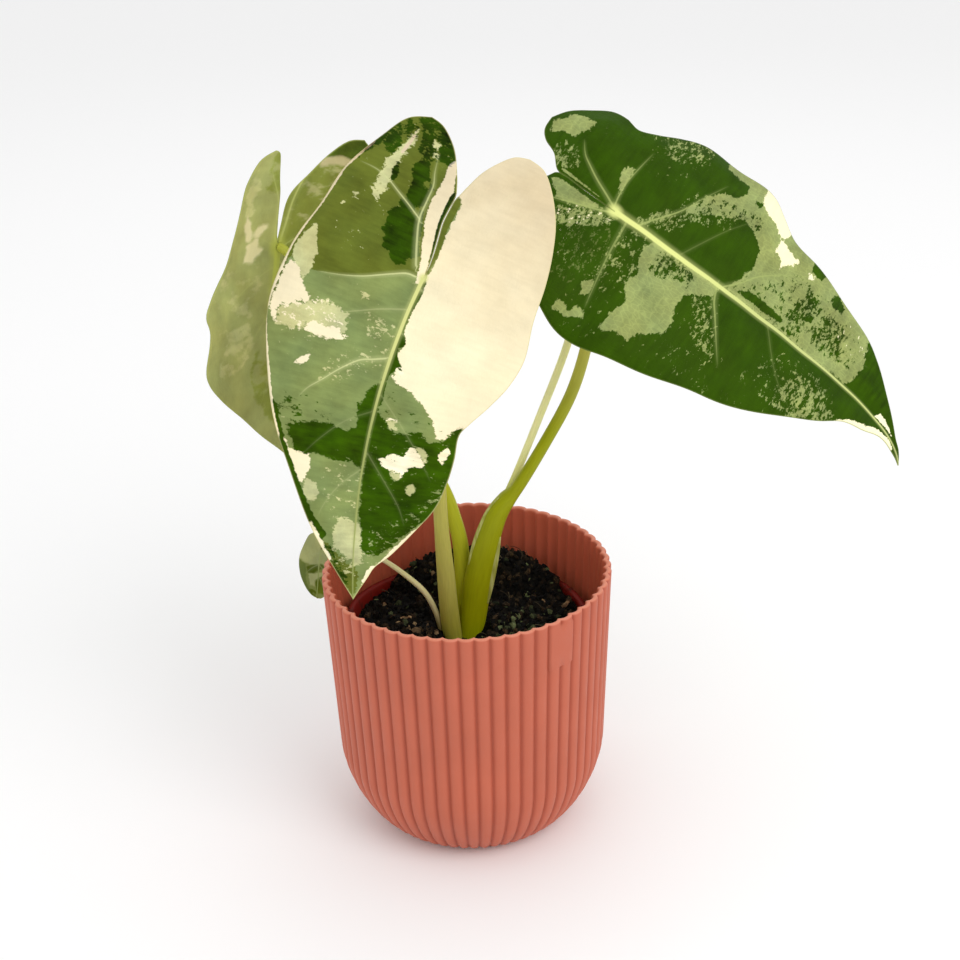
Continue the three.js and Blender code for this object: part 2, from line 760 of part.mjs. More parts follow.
const SMALL_STALK = [
  [-10.9, -2.6, STALK_FOOT, 0.9, 0.9],
  [-12.2, -4, 88, 1.1, 1.1],
  [-16.4, -4, 97.6, 1.1, 1.1],
  [-25.4, 0, 104.8, 1, 1],
  [-37, 10, 108, 0.95, 0.95],
  [-48.5, 22.2, 108, 0.9, 0.9],
  [-53.2, 27.4, 107.4, 0.85, 0.85],
  [-56, 30, 105.2, 0.85, 0.85],
  [-56.7, 29, 102.4, 0.85, 0.85],
  headStation(SMALL_LEAF, 0.8),
];

// Newest shoot: a thin stalk out of the sheath with its leaf still furled
const NEW_SHOOT = [
  [15.4, 9.5, 134.7, 1.3, 1.3],
  [17.6, 10.8, 138.5, 1.55, 1.55],
  [27.2, 15, 158, 1.5, 1.5],
  [39.7, 21, 187, 1.5, 1.5],
  [45.1, 24.5, 204, 2, 1.9],
  [48.9, 27, 219, 2.3, 2.1],
  [51.2, 28.6, 230, 1.4, 1.3],
  [52.6, 29.6, 238, 0.45, 0.45],
];

const plant = new THREE.Group();
plant.name = "potted_frydek_alocasia";
plant.add(coverPot());
plant.add(nurseryPot());
plant.add(soilBody());
plant.add(stemBase());
plant.add(leafBlade("leaf_front_blade", FRONT_LEAF, 0x6f8a4c));
plant.add(leafBlade("leaf_right_blade", RIGHT_LEAF, 0x2f5216));
plant.add(leafBlade("leaf_rear_blade", REAR_LEAF, 0x7d8a4a));
plant.add(leafBlade("leaf_small_blade", SMALL_LEAF, 0x4c6b2a));
const faceOf = (shape) => new Blade(shape).up;
plant.add(stalk("leaf_front_stalk", FRONT_STALK, 10, 22, faceOf(FRONT_LEAF), 0xa8a355));
plant.add(stalk("leaf_right_stalk", RIGHT_STALK, 12, 34, faceOf(RIGHT_LEAF), 0x9a9a30));
plant.add(stalk("leaf_rear_stalk", REAR_STALK, 10, 26, faceOf(REAR_LEAF), 0x9da63a));
plant.add(stalk("leaf_small_stalk", SMALL_STALK, 8, 30, faceOf(SMALL_LEAF), 0xc9bf8e));
plant.add(stalk("new_shoot", NEW_SHOOT, 10, 26, null, 0xd9d58c));

export default plant;
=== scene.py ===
"""A young variegated frydek alocasia in a ribbed cover pot: the looks of every piece.

Plans are in millimetres and become metres where a mesh is made. A blade's own measures run
along its midrib from the stalk (s, the back lobes below zero) and across it (t, positive to the
right with the top face towards you and the tip down).
"""
import math

import bpy
import numpy as np
from mathutils import Matrix, Vector, noise


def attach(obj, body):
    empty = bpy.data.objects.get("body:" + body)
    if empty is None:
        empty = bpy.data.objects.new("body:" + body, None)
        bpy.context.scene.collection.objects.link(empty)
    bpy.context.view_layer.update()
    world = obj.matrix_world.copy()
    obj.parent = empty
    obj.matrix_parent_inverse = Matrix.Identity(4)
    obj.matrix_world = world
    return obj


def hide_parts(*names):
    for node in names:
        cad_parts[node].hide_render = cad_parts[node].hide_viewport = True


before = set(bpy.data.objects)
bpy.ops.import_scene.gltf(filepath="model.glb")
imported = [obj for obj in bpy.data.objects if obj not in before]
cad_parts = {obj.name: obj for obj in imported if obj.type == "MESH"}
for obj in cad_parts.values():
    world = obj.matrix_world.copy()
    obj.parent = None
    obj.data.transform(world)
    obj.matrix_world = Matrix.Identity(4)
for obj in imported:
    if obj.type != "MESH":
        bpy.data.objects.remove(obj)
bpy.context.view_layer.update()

MM = 0.001
BODY = "root"


# Camera: the photograph's place, turn and angle of view
CAMERA_PLACE = Vector((0, -524.87, 391.97)) * MM
CAMERA_PITCH = math.radians(25.47)
CAMERA_YAW = math.radians(0.664)
CAMERA_ROLL = math.radians(-1.728)
CAMERA_FOCAL_PX = 1569.6
PHOTO_SIDE_PX = 960
SENSOR_MM = 36


def place_camera():
    forward = Vector((
        math.sin(CAMERA_YAW) * math.cos(CAMERA_PITCH),
        math.cos(CAMERA_YAW) * math.cos(CAMERA_PITCH),
        -math.sin(CAMERA_PITCH),
    ))
    level = forward.cross(Vector((0, 0, 1))).normalized()
    upright = level.cross(forward)
    right = level * math.cos(CAMERA_ROLL) + upright * math.sin(CAMERA_ROLL)
    above = upright * math.cos(CAMERA_ROLL) - level * math.sin(CAMERA_ROLL)
    data = bpy.data.cameras.new("camera")
    data.sensor_width = SENSOR_MM
    data.lens = CAMERA_FOCAL_PX * SENSOR_MM / PHOTO_SIDE_PX
    data.clip_start, data.clip_end = 0.01, 20
    camera = bpy.data.objects.new("camera", data)
    bpy.context.scene.collection.objects.link(camera)
    turn = Matrix((right, above, -forward)).transposed().to_4x4()
    camera.matrix_world = Matrix.Translation(CAMERA_PLACE) @ turn
    bpy.context.scene.camera = camera


place_camera()


# Node recipes
def paint(red, green, blue):
    """A colour as eyes see it, 0 to 255, in the shader's linear numbers."""
    def linear(value):
        value /= 255
        return value / 12.92 if value < 0.04045 else ((value + 0.055) / 1.055) ** 2.4
    return (linear(red), linear(green), linear(blue), 1)


class Nodes:
    """A node tree under construction."""

    def __init__(self, tree):
        self.tree = tree

    def add(self, kind, inputs=None, **settings):
        node = self.tree.nodes.new(kind)
        for key, value in settings.items():
            setattr(node, key, value)
        for key, value in (inputs or {}).items():
            self.feed(node.inputs[key], value)
        return node

    def feed(self, plug, value):
        if isinstance(value, bpy.types.NodeSocket):
            self.tree.links.new(value, plug)
        else:
            plug.default_value = value

    def math(self, operation, *values):
        return self.add("ShaderNodeMath", dict(enumerate(values)), operation=operation).outputs[0]

    def plus(self, first, second):
        return self.math("ADD", first, second)

    def times(self, first, second):
        return self.math("MULTIPLY", first, second)

    def times_plus(self, first, second, third):
        return self.math("MULTIPLY_ADD", first, second, third)

    def rest(self, share):
        """What a share leaves of the whole."""
        return self.math("SUBTRACT", 1.0, share)


class Recipe(Nodes):
    """A material under construction; each call adds a node and gives its output."""

    def __init__(self, name):
        self.material = bpy.data.materials.new(name)
        self.material.use_nodes = True
        super().__init__(self.material.node_tree)
        self.tree.nodes.clear()

    def place(self):
        return self.add("ShaderNodeTexCoord").outputs["Object"]

    def read(self, attribute, output="Fac"):
        return self.add("ShaderNodeAttribute", attribute_name=attribute).outputs[output]

    def stretch(self, vector, scale, turn=0.0):
        inputs = {"Vector": vector, "Scale": scale, "Rotation": (0, 0, turn)}
        return self.add("ShaderNodeMapping", inputs).outputs["Vector"]

    def shift(self, vector, by):
        return self.add("ShaderNodeVectorMath", {0: vector, 1: by}, operation="ADD").outputs[0]

    def step(self, value, low, high):
        inputs = {"Value": value, "From Min": low, "From Max": high}
        return self.add("ShaderNodeMapRange", inputs, interpolation_type="SMOOTHSTEP").outputs[0]

    def range(self, value, low, high, new_low, new_high):
        inputs = {"Value": value, "From Min": low, "From Max": high}
        inputs.update({"To Min": new_low, "To Max": new_high})
        return self.add("ShaderNodeMapRange", inputs).outputs[0]

    def noise(self, vector, scale, detail=3.0, roughness=0.5):
        inputs = {"Vector": vector, "Scale": scale, "Detail": detail, "Roughness": roughness}
        return self.add("ShaderNodeTexNoise", inputs).outputs["Fac"]

    def cells(self, vector, scale):
        inputs = {"Vector": vector, "Scale": scale}
        return self.add("ShaderNodeTexVoronoi", inputs, feature="DISTANCE_TO_EDGE").outputs["Distance"]

    def mix(self, share, first, second, blend="MIX"):
        node = self.add("ShaderNodeMix", data_type="RGBA", blend_type=blend)
        for key, value in (("Factor_Float", share), ("A_Color", first), ("B_Color", second)):
            socket = next(item for item in node.inputs if item.identifier == key)
            self.feed(socket, value)
        return next(item for item in node.outputs if item.identifier == "Result_Color")

    def shaded(self, colour, amount):
        """The colour made lighter or darker by one number."""
        channels = {"Red": amount, "Green": amount, "Blue": amount}
        grey = self.add("ShaderNodeCombineColor", channels).outputs[0]
        return self.mix(1.0, colour, grey, "MULTIPLY")

    def bump(self, height, distance, strength):
        inputs = {"Height": height, "Distance": distance, "Strength": strength}
        return self.add("ShaderNodeBump", inputs).outputs["Normal"]

    def finish(self, **inputs):
        named = {key.replace("_", " ").title(): value for key, value in inputs.items()}
        shader = self.add("ShaderNodeBsdfPrincipled")
        for key, value in named.items():
            socket = next(item for item in shader.inputs if item.name.lower() == key.lower())
            self.feed(socket, value)
        output = self.add("ShaderNodeOutputMaterial")
        self.tree.links.new(shader.outputs[0], output.inputs["Surface"])
        return self.material


# Meshes
def mesh_piece(name, points, faces):
    """A piece from points in millimetres and faces of three or four corners."""
    mesh = bpy.data.meshes.new(name)
    mesh.from_pydata((np.asarray(points) * MM).tolist(), [], faces)
    mesh.shade_smooth()
    piece = bpy.data.objects.new(name, mesh)
    bpy.context.scene.collection.objects.link(piece)
    return piece


def store(piece, name, values):
    """One number, or one place of three, for each corner point of a piece."""
    values = np.asarray(values, np.float32)
    kind = "FLOAT" if values.ndim == 1 else "FLOAT_VECTOR"
    attribute = piece.data.attributes.new(name, kind, "POINT")
    attribute.data.foreach_set("value" if values.ndim == 1 else "vector", values.ravel())


def settle(piece, material, slot, *nodes):
    """Last step of every piece: its finish, its body, and the CAD nodes that it stands for."""
    piece.data.materials.clear()
    piece.data.materials.append(material)
    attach(piece, BODY)
    if nodes:
        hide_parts(*nodes)
    return piece


def evaluated_piece(name, carrier):
    """The plain mesh of a piece whose Geometry Nodes modifier is then done with."""
    bpy.context.view_layer.update()
    seen = carrier.evaluated_get(bpy.context.evaluated_depsgraph_get())
    mesh = bpy.data.meshes.new_from_object(seen)
    mesh.name = name
    piece = bpy.data.objects.new(name, mesh)
    bpy.context.scene.collection.objects.link(piece)
    return piece


def smooth_line(points, steps):
    """Even-weighted smooth line through given points of two numbers."""
    points = np.asarray(points, float)
    padded = np.vstack([points[0], points, points[-1]])
    share = np.linspace(0, 1, steps, endpoint=False)[:, None]
    pieces = []
    for p0, p1, p2, p3 in zip(padded, padded[1:], padded[2:], padded[3:]):
        v0, v1 = (p2 - p0) / 2, (p3 - p1) / 2
        cubic = (2 * p1 - 2 * p2 + v0 + v1) * share**3
        square = (3 * p2 - 3 * p1 - 2 * v0 - v1) * share**2
        pieces.append(cubic + square + v0 * share + p1)
    return np.vstack([*pieces, points[-1:]])


def smooth_path(stations, steps):
    """Smooth rows through given stations, spaced by their distance, and the way they run."""
    stations = np.asarray(stations, float)
    def run(columns):
        first = 2 * columns[0] - columns[1]
        last = 2 * columns[-1] - columns[-2]
        padded = np.vstack([first, columns, last])
        rows, tangents = [], []
        for step in range(steps + 1):
            place = (len(columns) - 1) * step / steps
            index = min(int(place), len(columns) - 2)
            share = place - index
            p0, p1, p2, p3 = padded[index:index + 4]
            gaps = [max(np.sum((b - a) ** 2) ** 0.25, 1e-4) for a, b in ((p0, p1), (p1, p2), (p2, p3))]
            t1 = (p1 - p0) / gaps[0] - (p2 - p0) / (gaps[0] + gaps[1]) + (p2 - p1) / gaps[1]
            t2 = (p2 - p1) / gaps[1] - (p3 - p1) / (gaps[1] + gaps[2]) + (p3 - p2) / gaps[2]
            t1, t2 = t1 * gaps[1], t2 * gaps[1]
            c2 = -3 * p1 + 3 * p2 - 2 * t1 - t2
            c3 = 2 * p1 - 2 * p2 + t1 + t2
            rows.append(p1 + t1 * share + c2 * share**2 + c3 * share**3)
            tangents.append(t1 + 2 * c2 * share + 3 * c3 * share**2)
        return np.array(rows), np.array(tangents)
    centres, tangents = run(stations[:, :3])
    girths, _ = run(stations[:, 3:])
    return centres, tangents / np.linalg.norm(tangents, axis=1)[:, None], girths


def skin(rings, count):
    """Faces over rings of equal count, in the order of the rings, closed at each end."""
    faces = []
    for ring in range(rings - 1):
        for column in range(count):
            a = ring * count + column
            b = ring * count + (column + 1) % count
            faces.append((a, b, b + count, a + count))
    faces.append(tuple(reversed(range(count))))
    faces.append(tuple(range((rings - 1) * count, rings * count)))
    return faces


def full_turn(count):
    """Even steps once round, in radians."""
    return 2 * np.pi * np.arange(count) / count


# Cover pot
POT_HEIGHT = 106
POT_RIM_RADIUS = 55
POT_TAPER = 0.037
POT_BASE_RADIUS = 33
POT_CURVE_TOP = 33
POT_CURVE_POWER = 1.6
POT_FLOOR = 3
POT_SHELL = 2.1
RIB_COUNT = 60
RIB_DEPTH = 1.3
RIB_TURN = 1.77
RIB_COLUMNS = 12
RIM_ROUNDING = 0.9
# The bare label place: from and to in degrees round the pot, its soft edge, and its heights
PATCH_FROM, PATCH_TO = 31.9, 43.6
PATCH_EDGE = 0.4
PATCH_LOW, PATCH_HIGH = 87, 104.4


def crest_radius(z):
    foot = POT_RIM_RADIUS - POT_TAPER * (POT_HEIGHT - POT_CURVE_TOP)
    if z >= POT_CURVE_TOP:
        return POT_RIM_RADIUS - POT_TAPER * (POT_HEIGHT - z)
    drop = (POT_CURVE_TOP - z) / POT_CURVE_TOP
    bulge = (1 - drop**POT_CURVE_POWER) ** (1 / POT_CURVE_POWER)
    return POT_BASE_RADIUS + (foot - POT_BASE_RADIUS) * bulge


def pot_profile():
    """Rows of the shell from the middle of its foot, up the outside and down the inside.

    Each row is radius, height, share of the rib's depth, and how far it is inside."""
    rows = [(6, 0.35, 0, 0), (18, 0.35, 0, 0), (27, 0.3, 0, 0), (29.5, 0.05, 0, 0), (31.5, 0, 0.1, 0)]
    rows += [(crest_radius(z), z, min(1, 0.3 + z), 0) for z in (0, 0.35, 0.9, 1.7, 2.8, 4.2, 6, 8)]
    rows += [(crest_radius(z), z, 1, 0) for z in np.linspace(10.5, POT_CURVE_TOP, 9)]
    rows += [(crest_radius(z), z, 1, 0) for z in np.linspace(40, 84, 6)]
    rows += [(crest_radius(z), z, 1, 0) for z in (PATCH_LOW - 0.7, PATCH_LOW + 0.3, 93, 99)]
    rows += [(crest_radius(z), z, 1, 0) for z in (PATCH_HIGH - 0.6, PATCH_HIGH + 0.2)]
    wall = POT_SHELL
    top, outer = POT_HEIGHT, POT_RIM_RADIUS
    for share in np.linspace(0, 1, 6):
        turn = share * math.pi / 2
        rows.append((
            outer - RIM_ROUNDING * (1 - math.cos(turn)),
            top - RIM_ROUNDING * (1 - math.sin(turn)),
            1 - 0.25 * share,
            0.2 * share,
        ))
    for share in np.linspace(0.25, 1, 5):
        turn = share * math.pi / 2
        rows.append((
            outer - wall + RIM_ROUNDING * (1 - math.sin(turn)),
            top - RIM_ROUNDING * (1 - math.cos(turn)),
            0.75 + 0.25 * share,
            0.2 + 0.8 * share,
        ))
    rows += [(crest_radius(z) - wall, z, 1, 1) for z in np.linspace(top - 3, POT_CURVE_TOP + 3, 12)]
    rows += [(crest_radius(z) - wall - 1, z, 1, 1) for z in (28, 20, 13, 8)]
    rows += [(POT_BASE_RADIUS - 1, POT_FLOOR + 1.2, 0.4, 1), (POT_BASE_RADIUS - 4, POT_FLOOR, 0, 1)]
    rows += [(16, POT_FLOOR, 0, 1), (5, POT_FLOOR, 0, 1)]
    return rows


def pot_blank():
    """The pot turned smooth, with each point's share of the rib depth stored."""
    rows = pot_profile()
    count = RIB_COUNT * RIB_COLUMNS
    turns = np.radians(RIB_TURN - 90 + 360 * np.arange(count) / count)
    degrees = (360 * np.arange(count) / count + RIB_TURN) % 360
    on_patch = np.clip((degrees - PATCH_FROM) / PATCH_EDGE, 0, 1)
    on_patch = on_patch * np.clip((PATCH_TO - degrees) / PATCH_EDGE, 0, 1)
    points, shares, inside = [], [], []
    for radius, z, share, depth in rows:
        points.append(np.stack([radius * np.cos(turns), radius * np.sin(turns), np.full(count, z)], 1))
        bare = on_patch if PATCH_LOW < z < PATCH_HIGH and depth == 0 else 0
        shares.append(np.full(count, share) * (1 - bare))
        inside.append(np.full(count, depth))
    blank = mesh_piece("pot_blank", np.vstack(points), skin(len(rows), count))
    store(blank, "rib_share", np.concatenate(shares))
    store(blank, "inside", np.concatenate(inside))
    return blank


def socket(tree, name, kind, default=None, way="INPUT"):
    made = tree.interface.new_socket(name, in_out=way, socket_type=kind)
    if default is not None:
        made.default_value = default
    return made.identifier


class Rule(Nodes):
    """A Geometry Nodes tree under construction, with its named inputs."""

    def __init__(self, name):
        super().__init__(bpy.data.node_groups.new(name, "GeometryNodeTree"))
        socket(self.tree, "Geometry", "NodeSocketGeometry", way="OUTPUT")
        self.names = {"Geometry": socket(self.tree, "Geometry", "NodeSocketGeometry")}
        self.source = self.tree.nodes.new("NodeGroupInput")

    def input(self, name, kind="NodeSocketFloat", default=None):
        self.names[name] = socket(self.tree, name, kind, default)
        return self.source.outputs[name]

    def end(self, geometry, material):
        realized = self.add("GeometryNodeRealizeInstances", {"Geometry": geometry}).outputs[0]
        inputs = {"Geometry": realized, "Material": material}
        dressed = self.add("GeometryNodeSetMaterial", inputs)
        output = self.tree.nodes.new("NodeGroupOutput")
        self.tree.links.new(dressed.outputs[0], output.inputs[0])

    def run(self, carrier, name, **values):
        """The carrier's plain result under the rule, with the inputs set by their identifiers."""
        modifier = carrier.modifiers.new(name, "NODES")
        modifier.node_group = self.tree
        for key, value in values.items():
            modifier[self.names[key.replace("_", " ").title()]] = value
        piece = evaluated_piece(name, carrier)
        carrier.modifiers.remove(modifier)
        return piece


def rib_rule(material):
    """Upright ribs with rounded backs and narrow grooves, pressed into a round shell."""
    rule = Rule("upright_ribs")
    count = rule.input("Rib Count", default=60.0)
    depth = rule.input("Rib Depth", default=0.001)
    turn = rule.input("Rib Turn", default=0.0)
    fullness = rule.input("Rib Fullness", default=2.0)
    place = rule.add("GeometryNodeInputPosition").outputs[0]
    parts = rule.add("ShaderNodeSeparateXYZ", {0: place})
    behind = rule.times(parts.outputs["Y"], -1.0)
    angle = rule.math("SUBTRACT", rule.math("ARCTAN2", parts.outputs["X"], behind), turn)
    ribs = rule.math("DIVIDE", rule.times(angle, count), 2 * math.pi)
    phase = rule.math("FRACT", rule.plus(ribs, RIB_COUNT))
    off_crest = rule.math("ABSOLUTE", rule.math("SUBTRACT", rule.times(phase, 2.0), 1.0))
    drop = rule.math("POWER", off_crest, fullness)
    share = rule.add("GeometryNodeInputNamedAttribute", {"Name": "rib_share"}, data_type="FLOAT")
    groove = rule.times(drop, share.outputs[0])
    sunk = rule.times(groove, depth)
    flat = rule.add("ShaderNodeVectorMath", {0: place, 1: (1, 1, 0)}, operation="MULTIPLY")
    outward = rule.add("ShaderNodeVectorMath", {0: flat.outputs[0]}, operation="NORMALIZE")
    offset = rule.add(
        "ShaderNodeVectorMath",
        {0: outward.outputs[0], "Scale": rule.times(sunk, -1.0)},
        operation="SCALE",
    )
    moved = rule.add(
        "GeometryNodeSetPosition",
        {"Geometry": rule.source.outputs["Geometry"], "Offset": offset.outputs[0]},
    )
    marked = rule.add(
        "GeometryNodeStoreNamedAttribute",
        {"Geometry": moved.outputs[0], "Name": "groove", "Value": groove},
        data_type="FLOAT",
        domain="POINT",
    )
    rule.end(marked.outputs[0], material)
    return rule


CREST_PINK = paint(189, 97, 71)
# Painted shade: the grooves' colour is darker for the shade that falls in them
GROOVE_SHADE_PINK = paint(166, 74, 49)
# Painted highlight: the rounded rim is painted lighter
RIM_HIGHLIGHT_PINK = paint(220, 134, 108)
# Painted light: the inside is painted lighter for the light bounced round within the pot
INSIDE_LIT_PINK = paint(202, 99, 72)


def pot_finish():
    """Matte moulded plastic: painted shade in the grooves, a painted highlight on the rim, the inside
    painted lighter for the light bounced within it, a faint cloud and a fine grain.
    """
    recipe = Recipe("matte_salmon_plastic")
    place = recipe.place()
    groove, inside = recipe.read("groove"), recipe.read("inside")
    # Painted shade: the colour darkens down into the grooves
    colour = recipe.mix(recipe.step(groove, 0.15, 1.0), CREST_PINK, GROOVE_SHADE_PINK)
    # Painted highlight on the rim
    colour = recipe.mix(recipe.step(inside, 0.02, 0.16), colour, RIM_HIGHLIGHT_PINK)
    # Painted light: the inside is lighter for the bounced light
    colour = recipe.mix(recipe.step(inside, 0.3, 1.0), colour, INSIDE_LIT_PINK)
    cloud = recipe.range(recipe.noise(place, 38, 3), 0.3, 0.7, 0.95, 1.04)
    colour = recipe.shaded(colour, cloud)
    scuff = recipe.range(recipe.noise(place, 120, 4), 0.3, 0.7, 0.48, 0.6)
    grain = recipe.noise(place, 2600, 2)
    normal = recipe.bump(grain, 0.00004, 0.6)
    return recipe.finish(base_color=colour, roughness=scuff, normal=normal, specular_ior_level=0.4)


def make_cover_pot():
    material = pot_finish()
    rule = rib_rule(material)
    blank = pot_blank()
    pot = rule.run(
        blank,
        "cover_pot_shell",
        rib_count=float(RIB_COUNT),
        rib_depth=RIB_DEPTH * MM,
        rib_turn=math.radians(RIB_TURN),
        rib_fullness=2.3,
    )
    bpy.data.objects.remove(blank)
    settle(pot, material, "cover_pot", "cover_pot")


# Nursery pot
INNER_BASE_Z = 3.3
INNER_BASE_RADIUS = 31
INNER_TOP_Z = 83
INNER_TOP_RADIUS = 45.4
INNER_WALL = 0.8
INNER_LIP = 1.4
INNER_SIDES = 144
LIP_HEIGHT = 3
LIP_PULL = 4.5
LIP_PULL_TOWARDS = math.radians(193)
DRAIN_COUNT = 6
DRAIN_RADIUS = 3
DRAIN_CIRCLE = 22


def inner_radius(z):
    share = (z - INNER_BASE_Z) / (INNER_TOP_Z - INNER_BASE_Z)
    return INNER_BASE_RADIUS + (INNER_TOP_RADIUS - INNER_BASE_RADIUS) * share


def inner_profile():
    low = INNER_TOP_Z - 3
    edge = INNER_TOP_RADIUS
    rows = [(4, INNER_BASE_Z + 0.8), (INNER_BASE_RADIUS - 6, INNER_BASE_Z + 0.8)]
    rows += [(INNER_BASE_RADIUS - 4, INNER_BASE_Z), (INNER_BASE_RADIUS - 1, INNER_BASE_Z)]
    rows += [(INNER_BASE_RADIUS, INNER_BASE_Z + 1)]
    rows += [(inner_radius(z), z) for z in (20, 40, 60, low - 1, low)]
    rows += [(inner_radius(low) + 0.9, low + 0.1), (inner_radius(low) + INNER_LIP, low + 0.5)]
    rows += [(edge + INNER_LIP, INNER_TOP_Z - 0.6), (edge + INNER_LIP - 0.3, INNER_TOP_Z - 0.1)]
    rows += [(edge + 0.4, INNER_TOP_Z), (edge - 0.5, INNER_TOP_Z - 0.2)]
    rows += [(inner_radius(z) - INNER_WALL, z) for z in (INNER_TOP_Z - 1, low, 60, 30)]
    rows += [(INNER_BASE_RADIUS - 1, INNER_BASE_Z + 2.2), (INNER_BASE_RADIUS - 5, INNER_BASE_Z + 1.8)]
    rows += [(4, INNER_BASE_Z + 1.8)]
    return rows


def lip_pull(turns, z):
    """How much higher the soft lip stands where it has been pulled up."""
    nearness = np.maximum(0, np.cos(turns - LIP_PULL_TOWARDS)) ** 3
    return LIP_PULL * nearness * (z > INNER_TOP_Z - LIP_HEIGHT - 0.1)


def drain_drills():
    """Six short rods where the floor has its holes."""
    sides = 24
    turns = full_turn(sides)
    points, faces = [], []
    for hole in range(DRAIN_COUNT):
        angle = 2 * math.pi * hole / DRAIN_COUNT
        x = DRAIN_CIRCLE * math.cos(angle) + DRAIN_RADIUS * np.cos(turns)
        y = DRAIN_CIRCLE * math.sin(angle) + DRAIN_RADIUS * np.sin(turns)
        start = len(points)
        for z in (INNER_BASE_Z - 2, INNER_BASE_Z + 4):
            points += list(zip(x, y, np.full(sides, z)))
        faces += [tuple(start + corner for corner in face) for face in skin(2, sides)]
    return mesh_piece("drain_drills", points, faces)


def make_nursery_pot():
    rows = inner_profile()
    turns = full_turn(INNER_SIDES)
    points = np.vstack([
        np.stack([r * np.cos(turns), r * np.sin(turns), z + lip_pull(turns, z)], 1) for r, z in rows
    ])
    blank = mesh_piece("nursery_pot_blank", points, skin(len(rows), INNER_SIDES))
    drills = drain_drills()
    cut = blank.modifiers.new("drains", "BOOLEAN")
    cut.operation, cut.object, cut.solver = "DIFFERENCE", drills, "EXACT"
    pot = evaluated_piece("nursery_pot_shell", blank)
    bpy.data.objects.remove(blank)
    bpy.data.objects.remove(drills)
    recipe = Recipe("thin_dark_red_plastic")
    place = recipe.place()
    dust = recipe.step(recipe.noise(place, 260, 5, 0.6), 0.5, 0.72)
    colour = recipe.mix(dust, paint(112, 18, 9), paint(76, 22, 13))
    streak = recipe.noise(recipe.stretch(place, (1, 1, 0.15)), 150, 3)
    rough = recipe.range(dust, 0, 1, 0.52, 0.7)
    material = recipe.finish(
        base_color=colour,
        roughness=rough,
        normal=recipe.bump(streak, 0.0001, 0.4),
        specular_ior_level=0.2,
    )
    settle(pot, material, "nursery_pot", "nursery_pot")


# Soil
SOIL_TOP = 81.2
SOIL_HEAP = 1.6
SOIL_RADIUS = 43.6
SOIL_LOW = 4.8
SOIL_ROWS = 64
SOIL_COLUMNS = 220
STEM_PLACE = (-2.2, -0.3)
STEM_RADIUS = 10.8
BANK_HEIGHT = 13
BANK_PLACE = (7, 35)
BANK_HALF_SIZE = (38, 18)
BANK_SPILL = 3.0
LIP_REST = 84.2
DIP_DEPTH = 7
DIP_PLACE = (-2.5, -8)
DIP_HALF_SIZE = (12, 9.5)
SWELL_HEIGHT = 0.8
CLOD_HEIGHT = 1.7
CLOD_SIZE = 3.4
SOIL_SUNK = 0.3
# Where each kind of bit is strewn: its share everywhere, and the oval place with most of it
STREWN_GROUNDS = (
    ("bark_ground", 0.06, (-20, -3), (9, 9)),
    ("perlite_ground", 0.08, (23, -6), (15, 16)),
    ("root_ground", 0.25, (14, 33), (18, 9)),
)


def bank_height(x, y):
    """Soil banked up behind the stems, level along its length and round across it."""
    long = (x - BANK_PLACE[0]) / BANK_HALF_SIZE[0]
    wide = (y - BANK_PLACE[1]) / BANK_HALF_SIZE[1]
    return BANK_HEIGHT * max(0, 1 - long**4 - wide**2)


def ground_share(point, centre, half_size):
    """1 in the middle of an oval place on the ground, 0 outside it."""
    long = (point[0] - centre[0]) / half_size[0]
    wide = (point[1] - centre[1]) / half_size[1]
    return max(0.0, 1 - long**2 - wide**2)


def soil_height(x, y):
    share = min(math.hypot(x, y) / SOIL_RADIUS, 1)
    heap = SOIL_HEAP * (1 - share**2)
    dip = DIP_DEPTH * ground_share((x, y), DIP_PLACE, DIP_HALF_SIZE)
    swell = SWELL_HEIGHT * math.sin(2 * math.atan2(y, x) + 1) * share
    clod = CLOD_HEIGHT * noise.fractal(Vector((x, y, 0)) / CLOD_SIZE, 0.8, 2.1, 4)
    return SOIL_TOP + heap + bank_height(x, y) - dip + swell + clod - SOIL_SUNK


def soil_surface():
    """Rings from the edge inwards; where the bank is high, its edge spills over the lip."""
    rings = []
    for row in range(SOIL_ROWS):
        share = 1 - row / SOIL_ROWS
        near_edge = max(0, (share - 0.8) / 0.2)
        ring = []
        for turn in full_turn(SOIL_COLUMNS):
            x = SOIL_RADIUS * share * math.cos(turn)
            y = SOIL_RADIUS * share * math.sin(turn)
            height = soil_height(x, y)
            edge = SOIL_RADIUS * math.cos(turn), SOIL_RADIUS * math.sin(turn)
            edge_height = SOIL_TOP + bank_height(*edge)
            over = min(1, max(0, edge_height - LIP_REST) / 3)
            spill = 1 + over * BANK_SPILL * near_edge / SOIL_RADIUS
            drop = over * max(0, height - LIP_REST) * near_edge**2
            sunk = 1.2 * (1 - over) * max(0, (share - 0.97) / 0.03)
            ring.append((x * spill, y * spill, height - drop - sunk))
        rings.append(ring)
    return rings


def soil_foot(radius, z):
    turns = full_turn(SOIL_COLUMNS)
    return [(radius * math.cos(turn), radius * math.sin(turn), z) for turn in turns]


def is_open_ground(x, y, z):
    """Soil that shows: not under the stems, nor at the wall, nor down the side."""
    from_stem = math.hypot(x - STEM_PLACE[0], y - STEM_PLACE[1])
    bare = z > SOIL_TOP - 2.6 and from_stem > STEM_RADIUS + 0.5
    return bare and math.hypot(x, y) < SOIL_RADIUS - 0.6


